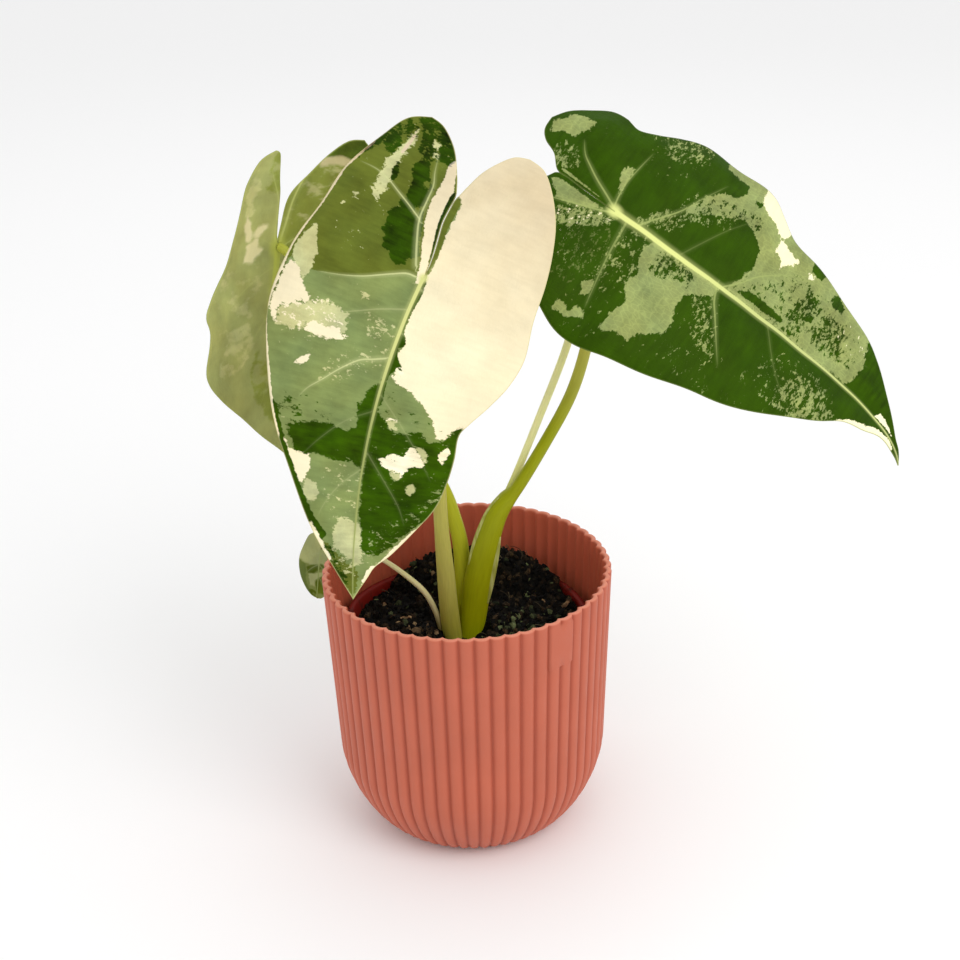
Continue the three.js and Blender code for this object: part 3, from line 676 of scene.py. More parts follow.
def make_soil():
    feet = [
        soil_foot(SOIL_RADIUS * 0.682, SOIL_LOW),
        soil_foot(SOIL_RADIUS - 0.2, SOIL_TOP - 3.5),
        soil_foot(SOIL_RADIUS, SOIL_TOP - 2.4),
    ]
    rings = feet + soil_surface()
    points = [point for ring in rings for point in ring]
    bed = mesh_piece("soil_bed", points, skin(len(rings), SOIL_COLUMNS))
    open_ground = np.array([float(is_open_ground(*point)) for point in points])
    store(bed, "open_ground", open_ground)
    for name, everywhere, centre, half_size in STREWN_GROUNDS:
        share = [everywhere + ground_share(point, centre, half_size) for point in points]
        store(bed, name, open_ground * share)
    recipe = Recipe("dark_moist_peat")
    place = recipe.place()
    clump = recipe.noise(place, 420, 6, 0.65)
    damp = recipe.mix(recipe.noise(place, 90, 2), paint(20, 20, 9), paint(34, 20, 11))
    colour = recipe.mix(recipe.step(clump, 0.45, 0.7), paint(4, 3, 1), damp)
    rough = recipe.range(recipe.noise(place, 900, 3), 0.3, 0.7, 0.7, 0.98)
    material = recipe.finish(
        base_color=colour,
        roughness=rough,
        normal=recipe.bump(clump, 0.0006, 0.9),
        specular_ior_level=0.12,
    )
    return settle(bed, material, "soil", "soil")


def lumpy_grain(rule):
    """One uneven grain, about two across."""
    grain = rule.add("GeometryNodeMeshIcoSphere", {"Radius": 1.0, "Subdivisions": 2})
    place = rule.add("GeometryNodeInputPosition").outputs[0]
    inputs = {"Vector": place, "Scale": 1.3, "Detail": 2.0}
    dent = rule.add("ShaderNodeTexNoise", inputs).outputs["Color"]
    centred = rule.add("ShaderNodeVectorMath", {0: dent, 1: (0.5, 0.5, 0.5)}, operation="SUBTRACT")
    pushed = rule.add("ShaderNodeVectorMath", {0: centred.outputs[0], "Scale": 1.9}, operation="SCALE")
    inputs = {"Geometry": grain.outputs[0], "Offset": pushed.outputs[0]}
    return rule.add("GeometryNodeSetPosition", inputs)


def thin_fibre(rule):
    """One bent root fibre, about two long."""
    arc = rule.add("GeometryNodeCurveArc", {"Resolution": 9, "Radius": 1.3, "Sweep Angle": 1.6})
    round_cut = rule.add("GeometryNodeCurvePrimitiveCircle", {"Resolution": 5, "Radius": 0.05})
    inputs = {"Curve": arc.outputs[0], "Profile Curve": round_cut.outputs[0], "Fill Caps": True}
    return rule.add("GeometryNodeCurveToMesh", inputs)


def strewn_rule(material, shape, ground):
    """Loose bits strewn over a kind of ground, each turned and sized by a seeded draw."""
    rule = Rule("strewn_bits")
    density = rule.input("Density", default=100000.0)
    small = rule.input("Small", default=0.0005)
    large = rule.input("Large", default=0.001)
    flatness = rule.input("Flatness", default=0.6)
    tumble = rule.input("Tumble", default=3.0)
    seed = rule.input("Seed", "NodeSocketInt", 1)
    share = rule.add("GeometryNodeInputNamedAttribute", {"Name": ground}, data_type="FLOAT")
    spread = rule.add(
        "GeometryNodeDistributePointsOnFaces",
        {"Mesh": rule.source.outputs["Geometry"], "Seed": seed},
    )
    rule.feed(spread.inputs["Density"], rule.times(density, share.outputs[0]))
    turned = rule.add("FunctionNodeRandomValue", {"Seed": seed}, data_type="FLOAT_VECTOR")
    most = rule.add("ShaderNodeCombineXYZ", {"X": tumble, "Y": tumble, "Z": 2 * math.pi})
    rule.feed(turned.inputs["Max"], most.outputs[0])
    size = rule.add("FunctionNodeRandomValue", {"Seed": rule.plus(seed, 5)}, data_type="FLOAT")
    rule.feed(size.inputs[2], small)
    rule.feed(size.inputs[3], large)
    long_side = rule.times(size.outputs[1], 1.3)
    thin_side = rule.times(size.outputs[1], flatness)
    form = rule.add("ShaderNodeCombineXYZ", {"X": long_side, "Y": size.outputs[1], "Z": thin_side})
    copies = rule.add(
        "GeometryNodeInstanceOnPoints",
        {
            "Points": spread.outputs["Points"],
            "Instance": shape(rule).outputs[0],
            "Rotation": turned.outputs[0],
            "Scale": form.outputs[0],
        },
    )
    shade = rule.add("FunctionNodeRandomValue", {"Seed": rule.plus(seed, 9)}, data_type="FLOAT")
    marked = rule.add(
        "GeometryNodeStoreNamedAttribute",
        {"Geometry": copies.outputs[0], "Name": "shade", "Value": shade.outputs[1]},
        data_type="FLOAT",
        domain="INSTANCE",
    )
    rule.end(marked.outputs[0], material)
    return rule


# Density in bits a square metre, small and large across in millimetres; rarity is that of the bright
STREWN = (
    {"name": "soil_crumbs", "ground": "open_ground", "shape": lumpy_grain, "density": 200000,
     "small": 0.4, "large": 1.5, "flatness": 0.75, "tumble": 3.1, "seed": 3,
     "rarity": 5, "dull": (3, 2, 1), "bright": (70, 54, 34)},
    {"name": "soil_bark", "ground": "bark_ground", "shape": lumpy_grain, "density": 70000,
     "small": 0.7, "large": 1.8, "flatness": 0.45, "tumble": 1.2, "seed": 8,
     "rarity": 1.5, "dull": (40, 26, 14), "bright": (190, 156, 116)},
    {"name": "soil_perlite", "ground": "perlite_ground", "shape": lumpy_grain, "density": 140000,
     "small": 0.5, "large": 1.5, "flatness": 0.85, "tumble": 3.1, "seed": 14,
     "rarity": 1.4, "dull": (16, 21, 9), "bright": (112, 120, 80)},
    {"name": "soil_fibres", "ground": "root_ground", "shape": thin_fibre, "density": 60000,
     "small": 1.2, "large": 3.2, "flatness": 1.0, "tumble": 1.3, "seed": 21,
     "rarity": 1.6, "dull": (20, 16, 10), "bright": (118, 104, 76)},
)


def make_strewn_bits(bed):
    for kind in STREWN:
        recipe = Recipe(kind["name"] + "_finish")
        mottle = recipe.noise(recipe.place(), 1500, 3)
        pick = recipe.times(recipe.read("shade"), recipe.range(mottle, 0.3, 0.7, 0.7, 1.15))
        bright_share = recipe.math("POWER", pick, kind["rarity"])
        material = recipe.finish(
            base_color=recipe.mix(bright_share, paint(*kind["dull"]), paint(*kind["bright"])),
            roughness=0.85,
            normal=recipe.bump(mottle, 0.0002, 0.8),
            specular_ior_level=0.15,
        )
        bits = strewn_rule(material, kind["shape"], kind["ground"]).run(
            bed,
            kind["name"],
            density=float(kind["density"]),
            small=kind["small"] * MM,
            large=kind["large"] * MM,
            flatness=kind["flatness"],
            tumble=kind["tumble"],
            seed=kind["seed"],
        )
        settle(bits, material, "soil")


# Stem base
CROWN_FOOT = 58
CROWN_TOP = 75.6


def make_stem_base():
    """The short upright rhizome: ringed by old leaf scars, with the stalks' feet round its top."""
    sides, rows = 72, []
    for z in np.linspace(CROWN_FOOT, CROWN_TOP, 26):
        share = (z - CROWN_FOOT) / (CROWN_TOP - CROWN_FOOT)
        ring = 6.6 + 3.4 * min(1, share * 1.3) ** 0.6 + 0.5 * math.sin(z * 1.15) * (1 - share * 0.4)
        rows.append((ring - 1.8 * max(0, share - 0.8) / 0.2, z))
    rows += [(6, CROWN_TOP + 0.3), (2, CROWN_TOP + 0.4)]
    turns = full_turn(sides)
    points = []
    for radius, z in rows:
        for turn in turns:
            rough = 0.25 * noise.noise(Vector((3 * math.cos(turn), 3 * math.sin(turn), z / 3)))
            points.append((
                STEM_PLACE[0] + (radius + rough) * math.cos(turn),
                STEM_PLACE[1] + (radius + rough) * math.sin(turn),
                z,
            ))
    crown = mesh_piece("stem_base_crown", points, skin(len(rows), sides))
    recipe = Recipe("scarred_stem_skin")
    place = recipe.place()
    rings = recipe.noise(recipe.stretch(place, (1, 1, 4)), 160, 4)
    colour = recipe.mix(recipe.step(rings, 0.4, 0.65), paint(84, 72, 30), paint(58, 40, 24))
    material = recipe.finish(
        base_color=colour, roughness=0.75, normal=recipe.bump(rings, 0.0004, 0.8)
    )
    settle(crown, material, "stem", "stem_base")


# Blades
BLADE_THICKNESS = 0.56
WAVE_HEIGHT = 1.1
WAVE_LENGTH = 31
LOBE_REACH = 60
EDGE_ROUNDING = 0.9
QUILT_REACH = 4.5
CLOUD_SIZE = 13
CLOUD_HEIGHT = 0.5
RIDGE_HEIGHT = 0.32
VEIN_REACH = 2.8
VEIN_FADE = 1.4
VEIN_RIB_HEIGHT = 0.35
VEIN_RIB_WIDTH = 0.8


class Blade:
    """The arched, folded and waved surface that a leaf lies on."""

    def __init__(
        self, junction, face, turn, length, half_width, droop, lobe_droop, sway, fold, dome, wave
    ):
        self.junction = np.array(junction, float)
        self.length, self.half_width = length, half_width
        self.droop, self.lobe_droop, self.sway = droop, math.radians(lobe_droop), sway
        self.fold, self.dome = np.radians(fold), np.radians(dome)
        self.waviness, self.wave_phase = wave
        azimuth, lift = (math.radians(angle) for angle in face)
        level = np.array([math.cos(azimuth), math.sin(azimuth), 0])
        self.up = level * math.cos(lift) + np.array([0, 0, math.sin(lift)])
        downhill = level * math.sin(lift) - np.array([0, 0, math.cos(lift)])
        sideways = np.cross(self.up, downhill)
        turn = math.radians(turn)
        self.along = downhill * math.cos(turn) + sideways * math.sin(turn)
        self.across = np.cross(self.up, self.along)
        ends = (length * 1.02, -LOBE_REACH)
        self.tables = [self.midrib_table(np.linspace(0, end, 300)) for end in ends]

    def directions(self, s):
        share = np.clip(s / self.length, 0, None)
        ahead = math.radians(self.droop[0]) * share ** self.droop[1]
        dip = np.where(s >= 0, ahead, self.lobe_droop * s / LOBE_REACH)
        swing = math.radians(self.sway[0]) * share ** self.sway[1]
        cos_swing, sin_swing = np.cos(swing)[:, None], np.sin(swing)[:, None]
        flat = cos_swing * self.along + sin_swing * self.across
        right = cos_swing * self.across - sin_swing * self.along
        tangent = np.cos(dip)[:, None] * flat - np.sin(dip)[:, None] * self.up
        return tangent, right, np.cross(tangent, right)

    def midrib_table(self, s):
        middle = (s[1:] + s[:-1]) / 2
        tangent, _, _ = self.directions(middle)
        steps = tangent * np.diff(s)[:, None]
        return s, np.vstack([self.junction, self.junction + np.cumsum(steps, 0)])

    def midrib(self, s):
        (ahead, front), (behind, back) = self.tables
        columns = []
        for axis in range(3):
            forward = np.interp(s, ahead, front[:, axis])
            backward = np.interp(-s, -behind, back[:, axis])
            columns.append(np.where(s >= 0, forward, backward))
        return np.stack(columns, 1)

    def place(self, s, t):
        _, right, normal = self.directions(s)
        side = (t > 0).astype(int)
        fold, bend = self.fold[side], self.dome[side] / self.half_width
        reach = np.abs(t)
        out = (np.sin(fold) - np.sin(fold - bend * reach)) / bend
        rise = (np.cos(fold - bend * reach) - np.cos(fold)) / bend
        ripple = np.sin(2 * np.pi * (s + self.wave_phase + 9 * side) / WAVE_LENGTH)
        rise += WAVE_HEIGHT * self.waviness * (reach / self.half_width) ** 2 * ripple
        return self.midrib(s) + right * (np.sign(t) * out)[:, None] + normal * rise[:, None]


def off_stretch(s, t, start, end):
    """How far along a straight stretch the nearest place to each point is, and the way from it."""
    (s0, t0), (s1, t1) = start, end
    long_s, long_t = s1 - s0, t1 - t0
    share = ((s - s0) * long_s + (t - t0) * long_t) / max(long_s**2 + long_t**2, 1e-9)
    share = np.clip(share, 0, 1)
    return share, s - s0 - share * long_s, t - t0 - share * long_t


def depth_inside(s, t, outline):
    """Distance to a closed outline, positive inside it."""
    nearest = np.full(s.shape, 1e9)
    inside = np.zeros(s.shape, bool)
    ends = np.asarray(outline, float)
    with np.errstate(divide="ignore", invalid="ignore"):
        for start, end in zip(ends, np.roll(ends, -1, 0)):
            _, off_s, off_t = off_stretch(s, t, start, end)
            nearest = np.minimum(nearest, np.hypot(off_s, off_t))
            (s0, t0), (s1, t1) = start, end
            crossed = (t0 > t) != (t1 > t)
            inside ^= crossed & (s < (s1 - s0) * (t - t0) / (t1 - t0) + s0)
    return np.where(inside, nearest, -nearest)


def patch_fields(s, t, patches):
    """How deep each point lies in each colour, after the patches are painted in order.

    A patch is its colour, how solid it is (the greatest depth it may reach, small for a scatter
    of flecks), how ragged its edge is, and its outline."""
    depth = {colour: np.full(s.shape, -FULL) for colour in COLOURS}
    ragged = {colour: np.full(s.shape, 1.0) for colour in COLOURS}
    for colour, solid, rough, outline in patches:
        new = np.clip(depth_inside(s, t, outline), -FULL, solid)
        won = new > depth[colour]
        depth[colour] = np.where(won, new, depth[colour])
        ragged[colour] = np.where(won, rough, ragged[colour])
        for above in COLOURS[COLOURS.index(colour) + 1:]:
            cut = -new < depth[above]
            depth[above] = np.where(cut, -new, depth[above])
            ragged[above] = np.where(cut, rough, ragged[above])
    return depth, ragged


def vein_field(s, t, veins):
    """Signed distance to the nearest vein in its half widths, how plain it is, and plain distance."""
    best = np.full(s.shape, 99.0)
    signed, near, nearest = best.copy(), np.zeros(s.shape), best.copy()
    for half_width, strength, points in veins:
        line = smooth_line(points, 6)
        for index, (start, end) in enumerate(zip(line, line[1:])):
            share, off_s, off_t = off_stretch(s, t, start, end)
            long_s, long_t = end - start
            distance = np.hypot(off_s, off_t)
            run = (index + share) / (len(line) - 1)
            scaled = distance / (half_width * (1 - 0.6 * run))
            closer = scaled < best
            best = np.where(closer, scaled, best)
            side = np.where(long_s * off_t - long_t * off_s > 0, 1, -1)
            signed = np.where(closer, scaled * side, signed)
            fade = strength * np.clip((VEIN_REACH - distance) / VEIN_FADE, 0, 1) * (1 - run**4)
            near = np.where(closer, fade, near)
            nearest = np.minimum(nearest, distance)
    return signed, near, nearest


class LeafPlan:
    """Where the grid of a leaf's fine mesh lies in its own measures."""

    def __init__(self, edges, length, lobe_rows, body_rows, columns):
        self.lines = [smooth_line(points, 12) for points in edges]
        back = (edges[0][0][0], edges[2][0][0])
        points, self.faces, known = [], [], {}

        def index_of(s, t):
            key = (round(s, 4), round(t, 4))
            if key not in known:
                known[key] = len(points)
                points.append((s, t))
            return known[key]

        for side in (0, 1):
            outer, sinus = self.lines[2 * side], self.lines[2 * side + 1]
            turn = np.pi / 2
            rows = [back[side] * math.cos(turn * row / lobe_rows) for row in range(lobe_rows)]
            rows += [length * math.sin(turn * row / body_rows) ** 1.1 for row in range(body_rows + 1)]
            grid = []
            for count, s in enumerate(rows):
                inner = np.interp(s, sinus[:, 0], sinus[:, 1]) if s < 0 else 0.0
                end = 0.0 if count == len(rows) - 1 else np.interp(s, outer[:, 0], outer[:, 1])
                width = end - inner
                across = [inner + width * column / columns for column in range(columns + 1)]
                grid.append([index_of(s, t) for t in across])
            for upper, lower in zip(grid, grid[1:]):
                for column in range(columns):
                    quad = [upper[column], upper[column + 1], lower[column + 1], lower[column]]
                    if side:
                        quad.reverse()
                    corners = [c for k, c in enumerate(quad) if c not in quad[:k]]
                    if len(corners) > 2:
                        self.faces.append(tuple(corners))
        self.s, self.t = np.array(points).T

    def from_edge(self):
        nearest = np.full(self.s.shape, 1e9)
        for line in self.lines:
            for start, end in zip(line[::2], line[2::2]):
                _, off_s, off_t = off_stretch(self.s, self.t, start, end)
                nearest = np.minimum(nearest, np.hypot(off_s, off_t))
        return nearest


def sheet_normals(points, faces):
    normals = np.zeros_like(points)
    for width in (3, 4):
        group = np.array([face for face in faces if len(face) == width])
        if len(group):
            a, b, c = points[group[:, 0]], points[group[:, 1]], points[group[:, 2]]
            normal = np.cross(b - a, c - a)
            if width == 4:
                normal += np.cross(c - a, points[group[:, 3]] - a)
            for corner in range(width):
                np.add.at(normals, group[:, corner], normal)
    return normals / np.maximum(np.linalg.norm(normals, axis=1), 1e-12)[:, None]


def open_edges(faces):
    open_sides = {}
    for face in faces:
        for a, b in zip(face, face[1:] + face[:1]):
            if (b, a) in open_sides:
                del open_sides[b, a]
            else:
                open_sides[a, b] = True
    return list(open_sides)


def make_blade(name, node, slot, leaf, material):
    blade = Blade(**leaf["blade"])
    plan = LeafPlan(leaf["edges"], blade.length, *leaf["rows"])
    s, t = plan.s, plan.t
    edge = plan.from_edge()
    vein_a, near_a, a_mm = vein_field(s, t, leaf["veins"][::2])
    vein_b, near_b, b_mm = vein_field(s, t, leaf["veins"][1::2])
    near, vein_mm = np.maximum(near_a, near_b), np.minimum(a_mm, b_mm)
    midrib_mm = np.where(s >= 0, np.abs(t), np.hypot(s, t))
    taper = np.clip(1 - 0.9 * s / blade.length, 0.08, 1)
    middle = blade.place(s, t)
    normals = sheet_normals(middle, plan.faces)
    from_line = np.minimum(vein_mm, midrib_mm)
    quilt = leaf["quilt"] * (1 - np.exp(-((from_line / QUILT_REACH) ** 2)))
    spots = [Vector((a / CLOUD_SIZE, b / CLOUD_SIZE, leaf["keel"])) for a, b in zip(s, t)]
    swell = np.array([noise.noise(spot) for spot in spots])
    lift = (quilt + CLOUD_HEIGHT * swell) * np.clip(edge / 6, 0, 1)
    middle = middle + normals * lift[:, None]
    normals = sheet_normals(middle, plan.faces)
    thin = np.sqrt(1 - (1 - np.clip(edge / EDGE_ROUNDING, 0, 1)) ** 2)
    half = BLADE_THICKNESS / 2 * (0.3 + 0.7 * thin)
    ridge = RIDGE_HEIGHT * np.exp(-((t / (taper + 0.25)) ** 2)) * np.clip(1 + s / 3, 0, 1)
    keel = leaf["keel"] * taper * np.exp(-((t / (1.5 * taper + 0.4)) ** 2)) * np.clip(1 + s / 4, 0, 1)
    rib_below = VEIN_RIB_HEIGHT * near * np.exp(-((vein_mm / VEIN_RIB_WIDTH) ** 2))
    rib_below = rib_below * np.clip(edge / 5, 0, 1)
    upper = middle + normals * (half + ridge)[:, None]
    lower = middle - normals * (half + np.maximum(keel, rib_below))[:, None]
    count = len(s)
    faces = list(plan.faces)
    faces += [tuple(index + count for index in reversed(face)) for face in plan.faces]
    faces += [(b, a, a + count, b + count) for a, b in open_edges(plan.faces)]
    piece = mesh_piece(name, np.vstack([upper, lower]), faces)
    depth, ragged = patch_fields(s, t, leaf["patches"])
    place = np.stack([t, s, np.zeros(count)], 1)
    store(piece, "leaf_place", np.vstack([place, place]))
    store(piece, "under", np.concatenate([np.zeros(count), np.ones(count)]))
    fields = {"vein_a": vein_a, "near_a": near_a, "vein_b": vein_b, "near_b": near_b}
    fields.update({"edge": edge, "rib": taper})
    fields.update({"deep_" + colour: depth[colour] for colour in COLOURS})
    fields.update({"rag_" + colour: ragged[colour] for colour in COLOURS})
    for key, values in fields.items():
        store(piece, key, np.concatenate([values, values]))
    return settle(piece, material, slot, node)


# Colours of the patches, from the lowest layer up; the leaf's own ground colour is below them
COLOURS = ["olive", "pale", "dark", "cream"]
# The depth of a solid patch, deeper than its noise reaches
FULL = 9.0

# A leaf's plan.
# blade: where the stalk joins, which way the face looks (azimuth and lift), its turn in its own
#   plane, its length and half width, how it droops and sways (degrees at the tip, and a power),
#   how far the back lobes droop, how the left and right halves fold up and dome over, and how
#   strong the edge's waves are and where they start.
# keel, quilt: how far the midrib stands out below, and the fields between the veins above.
# rows: rows of the fine mesh over the lobes and over the body, and columns over each half.
# edges: outer and inner edge of the left half, then of the right half.
# veins: half width, strength and route.
# patches: colour, depth, how ragged, and outline.
FRONT_LEAF = {
    "blade": {
        "junction": (-11, -20, 227), "face": (-98, 33), "turn": -23.6, "length": 111.5,
        "half_width": 48, "droop": (14, 1), "lobe_droop": 14, "sway": (25, 1),
        "fold": (9, 9), "dome": (22, 22), "wave": (0.8, 4),
    },
    "keel": 1.1,
    "quilt": 0.5,
    "rows": (52, 150, 58),
    "edges": (
        ((-53, -23.5), (-49.5, -31), (-41, -36), (-24, -42.7), (-8, -45), (8, -47.6), (22, -48),
         (38, -42), (54.5, -34.7), (71, -24.6), (87.5, -15.4), (101.5, -6.2), (111.5, 0)),
        ((-53, -23.5), (-51.3, -17.8), (-45.4, -11), (-37.5, -6), (-33, -3.8), (-30, -2.8), (-25, -2.9),
         (-20, -2.8), (-15, -1.9), (-10, -0.95), (-5, -0.25), (0, 0)),
        ((-53, 14), (-51, 20.5), (-44.5, 26.6), (-35.3, 32.3), (-25.3, 36), (-13.4, 38.8), (-2.8, 40.2),
         (13, 42.7), (25, 41.3), (35, 37.2), (43.7, 32.4), (49, 30), (58, 30.3), (67.6, 29.2),
         (77.4, 26.4), (86.3, 20.5), (95.2, 13.2), (100, 7.6), (104, 5), (111.5, 0)),
        ((-53, 14), (-51.6, 8.9), (-46.8, 4.4), (-41.2, 1), (-35, -1), (-31.5, -1.9), (-29, -2.6),
         (-25, -2.7), (-20, -2.6), (-15, -1.7), (-10, -0.77), (-5, -0.13), (0, 0)),
    ),
    "veins": (
        (0.50, 0.8, (
            (29.6, -1.4), (31.2, -5.3), (32.9, -9.8), (37.4, -15.3), (41.8, -19.8), (45.7, -24.2),
            (49, -26.4))),
        (0.50, 0.85, (
            (0.7, -2.6), (0.9, -5.9), (3.4, -10.9), (7.3, -18.7), (9.6, -26.4), (11.2, -35.3))),
        (0.60, 0.75, (
            (-2.7, -4.2), (-10.4, -7.6), (-17.7, -10.3), (-24.9, -10.9), (-30.4, -11.4), (-34.9, -13.1),
            (-42, -15))),
        (0.40, 0.75, (
            (-17.7, -10.3), (-20.4, -15.3), (-23.2, -20.9), (-26, -26.4), (-27.7, -32),
            (-28.2, -38.7))),
        (0.45, 0.3, ((12, -1), (15, -9), (19, -18), (23, -28), (25, -38))),
        (0.40, 0.12, ((48, -1), (53, -9), (60, -16), (66, -21))),
        (0.40, 0.2, ((68, -1), (74, -7), (80, -11), (85, -13))),
        (0.70, 0.35, ((4, 1), (7, 15), (10, 30), (14, 38))),
        (0.70, 0.35, ((-3, 1), (-8, 2.4), (-19, 9), (-24, 17), (-29, 26))),
        (0.50, 0.25, ((-19, 9), (-32, 12), (-42, 15))),
        (0.50, 0.25, ((20, 1), (25, 12), (31, 24), (37, 32))),
        (0.45, 0.15, ((42, 1), (50, 10), (59, 18), (68, 24))),
        (0.40, 0.15, ((62, 1), (70, 8), (78, 14), (85, 17))),
    ),
    "patches": (
        ("olive", FULL, 0.25, (
            (-56, -52), (-56, 0), (0, 0), (0.9, -5.9), (3.4, -10.9), (7.3, -18.7), (9.6, -26.4),
            (11.2, -35.3), (9.6, -45.3), (5, -52))),
        ("olive", FULL, 0.5, (
            (-6, -52), (-5, -44.6), (4, -45.6), (9.6, -46), (16, -46.8), (25, -46.4), (27, -52))),
        ("dark", FULL, 1.0, (
            (-49, -35), (-44.3, -30.3), (-39.3, -28.1), (-34.9, -29.2), (-35.4, -32), (-37.1, -33.7),
            (-36, -36.4), (-32.1, -38.1), (-26.6, -42.6), (-27, -46), (-36, -45), (-43, -40))),
        ("dark", FULL, 0.9, (
            (-52, -28), (-56, -24), (-56, -12), (-46, -8), (-41.5, -8), (-39.3, -9.5), (-38.8, -14.8),
            (-37.7, -18.7), (-39.3, -21.4), (-43.2, -22.6), (-47.7, -24.4))),
        ("dark", 0.5, 2.0, ((-49, -31), (-48, -24.8), (-43.8, -24.6), (-41, -26.6), (-42.7, -29))),
        ("dark", FULL, 0.75, (
            (-37.1, -18.7), (-37.7, -16.2), (-32.1, -13.7), (-28.8, -10.9), (-22.7, -10.9),
            (-20.7, -13.7), (-22.1, -17.8), (-28.2, -18.7), (-33.8, -20.9))),
        ("dark", FULL, 0.5, (
            (-22.7, -12.6), (-20.4, -10.3), (-14.3, -7.4), (-13.2, -8.3), (-17.7, -10.9))),
        ("dark", FULL, 0.75, (
            (-15.4, -21.4), (-18.8, -19.2), (-19.9, -15.3), (-18, -11.8), (-15.4, -8.9), (-11, -6.7),
            (-6.6, -4.8), (-4.3, -6.2), (-3.8, -8.7), (-1.9, -7.3), (-0.2, -9.8), (-1.2, -13.1),
            (-3.2, -14), (-3.6, -17.3), (-8.2, -18.7), (-9.3, -20.3), (-13.2, -20))),
        ("dark", FULL, 0.6, ((-21.5, -19), (-20.6, -13), (-18.6, -14), (-19.4, -19))),
        ("pale", 1.1, 1.4, (
            (-46.9, -25.3), (-43.2, -24.7), (-37.7, -25.3), (-29.9, -25.9), (-22.7, -25),
            (-17.4, -26.4), (-20.4, -29.2), (-28.2, -30.3), (-33.2, -30), (-38.2, -27.8),
            (-42.7, -27))),
        ("cream", FULL, 0.4, (
            (-46.6, -25.8), (-42, -24.9), (-37, -25.6), (-35.6, -26.8), (-37.6, -26.9), (-42, -26.2))),
        ("dark", FULL, 0.6, (
            (-33.2, -26.2), (-31, -24.5), (-27.1, -23.7), (-26, -25.3), (-29.5, -26.8))),
        ("pale", FULL, 0.9, ((-45.6, -18.6), (-45, -15.6), (-42.4, -15.8), (-42.6, -18.4))),
        ("pale", FULL, 0.9, ((-41.4, -17), (-41.6, -14.4), (-39.4, -14), (-39.2, -16.2))),
        ("olive", FULL, 0.7, ((-31, -14.6), (-31, -12.6), (-27.8, -12.4), (-27.8, -14.6))),
        ("pale", FULL, 1.0, ((-13, -38), (-13.4, -36.6), (-11.8, -36), (-11.6, -37.4))),
        ("pale", FULL, 1.0, ((-17, -35.4), (-17.4, -33.8), (-16, -33.2), (-15.6, -34.8))),
        ("pale", -1.6, 1.6, ((-30, -38), (-30, -20), (0, -18), (2, -34))),
        ("olive", -0.9, 1.8, ((-52, -36), (-54, -22), (-50, -8), (-40, -8), (-40, -22), (-38, -34))),
        ("pale", -1.8, 1.8, ((-52, -30), (-53, -18), (-46, -8), (-38, -9), (-42, -24))),
        ("cream", FULL, 0.4, (
            (-42, -8.2), (-37.7, -6.2), (-29.3, -3.7), (-23.8, -3.9), (-17.1, -3), (-9.3, -1.3),
            (-2.7, -0.3), (2, 0), (3, -1.8), (-3.8, -3.1), (-10.4, -5.6), (-17.1, -8.1), (-23.8, -9.6),
            (-33.8, -9.2), (-40, -10))),
        # Painted shade, partly the dark green underside: the dark line where the left lobe's sinus edge
        # curls under
        ("dark", FULL, 0.2, (
            (-31.6, -3.6), (-30, -4.5), (-25, -4.5), (-20, -4.2), (-15, -3.1), (-10, -1.8), (-4, -0.7),
            (-4, -0.1), (-10, -0.8), (-15, -1.7), (-20, -2.6), (-31, -2.6))),
        ("pale", FULL, 0.7, (
            (-2.7, -42.2), (1.8, -39.8), (5.7, -37), (10.7, -36.7), (15.1, -38.1), (9.6, -45.6),
            (4, -45.6))),
        ("cream", FULL, 0.75, (
            (9.6, -45.4), (12.9, -40.3), (16.2, -37.6), (19, -33.1), (24, -33.1), (26.8, -36.4),
            (29.6, -42), (26, -46.4), (16.2, -46.6))),
        ("pale", FULL, 1.3, (
            (20.7, -33.1), (18.7, -28.1), (20.1, -18.7), (27.3, -16.7), (27.9, -20.9), (30.1, -28.1),
            (27.3, -30.9), (30.1, -35.3), (29.6, -41.4), (24, -43.1))),
        ("cream", FULL, 0.8, (
            (25.4, -30), (26.2, -24), (25, -19.4), (28.4, -17.4), (29.6, -22), (29.8, -28), (28, -31))),
        ("cream", -0.9, 1.7, (
            (19.5, -32), (19, -27), (21, -19), (28, -17), (29, -22), (30, -29), (28, -42), (24, -42))),
        ("pale", FULL, 0.9, ((11.6, -17), (11.8, -14), (13.8, -13.6), (14, -16.4))),
        ("pale", -0.5, 1.4, ((18, -12), (19, -3), (23, -2), (24, -9))),
        ("pale", -1.0, 1.8, (
            (27, -2), (31, -12), (38, -20), (43, -21), (40, -14), (34, -6), (31, -1.6))),
        ("pale", -2.0, 1.7, ((12, -34), (12, -3), (54, -3), (54, -36), (34, -40))),
        ("cream", FULL, 0.5, ((39.4, -31.2), (36.4, -28.6), (35.6, -26), (38.4, -26.8), (39.4, -28.6))),
        ("dark", FULL, 0.6, ((36, -44), (39, -41.2), (44, -38.6), (47, -38.8), (46, -42))),
        ("dark", FULL, 0.8, ((50, -38), (52, -34.4), (55, -31.6), (58, -32), (58, -36))),
        ("dark", FULL, 0.9, (
            (58.4, -28.1), (55.7, -22.6), (54.9, -15.3), (55.7, -7.6), (54, -4.8), (47, -6),
            (42.9, -4.4), (39.6, -3.1), (38.4, -1), (38.6, 0.4), (69, 0.4), (66.6, -1.6), (65.6, -4.2),
            (65.6, -11.4), (64.5, -15.9), (66, -19.8), (65.1, -24.2), (61.8, -25.6))),
        ("dark", -1.5, 2.0, ((49, -30), (50, -12), (56, -10), (57, -24), (54, -32))),
        ("dark", -0.4, 1.5, ((49, -31), (50, -26), (54, -24), (56, -28), (54, -32))),
        ("cream", FULL, 0.7, (
            (59.5, -34), (61.5, -29), (65.3, -24.2), (65.6, -18.4), (69.5, -17), (74.5, -19.8),
            (75.6, -21.8), (70, -28), (64, -32))),
        ("pale", FULL, 0.9, (
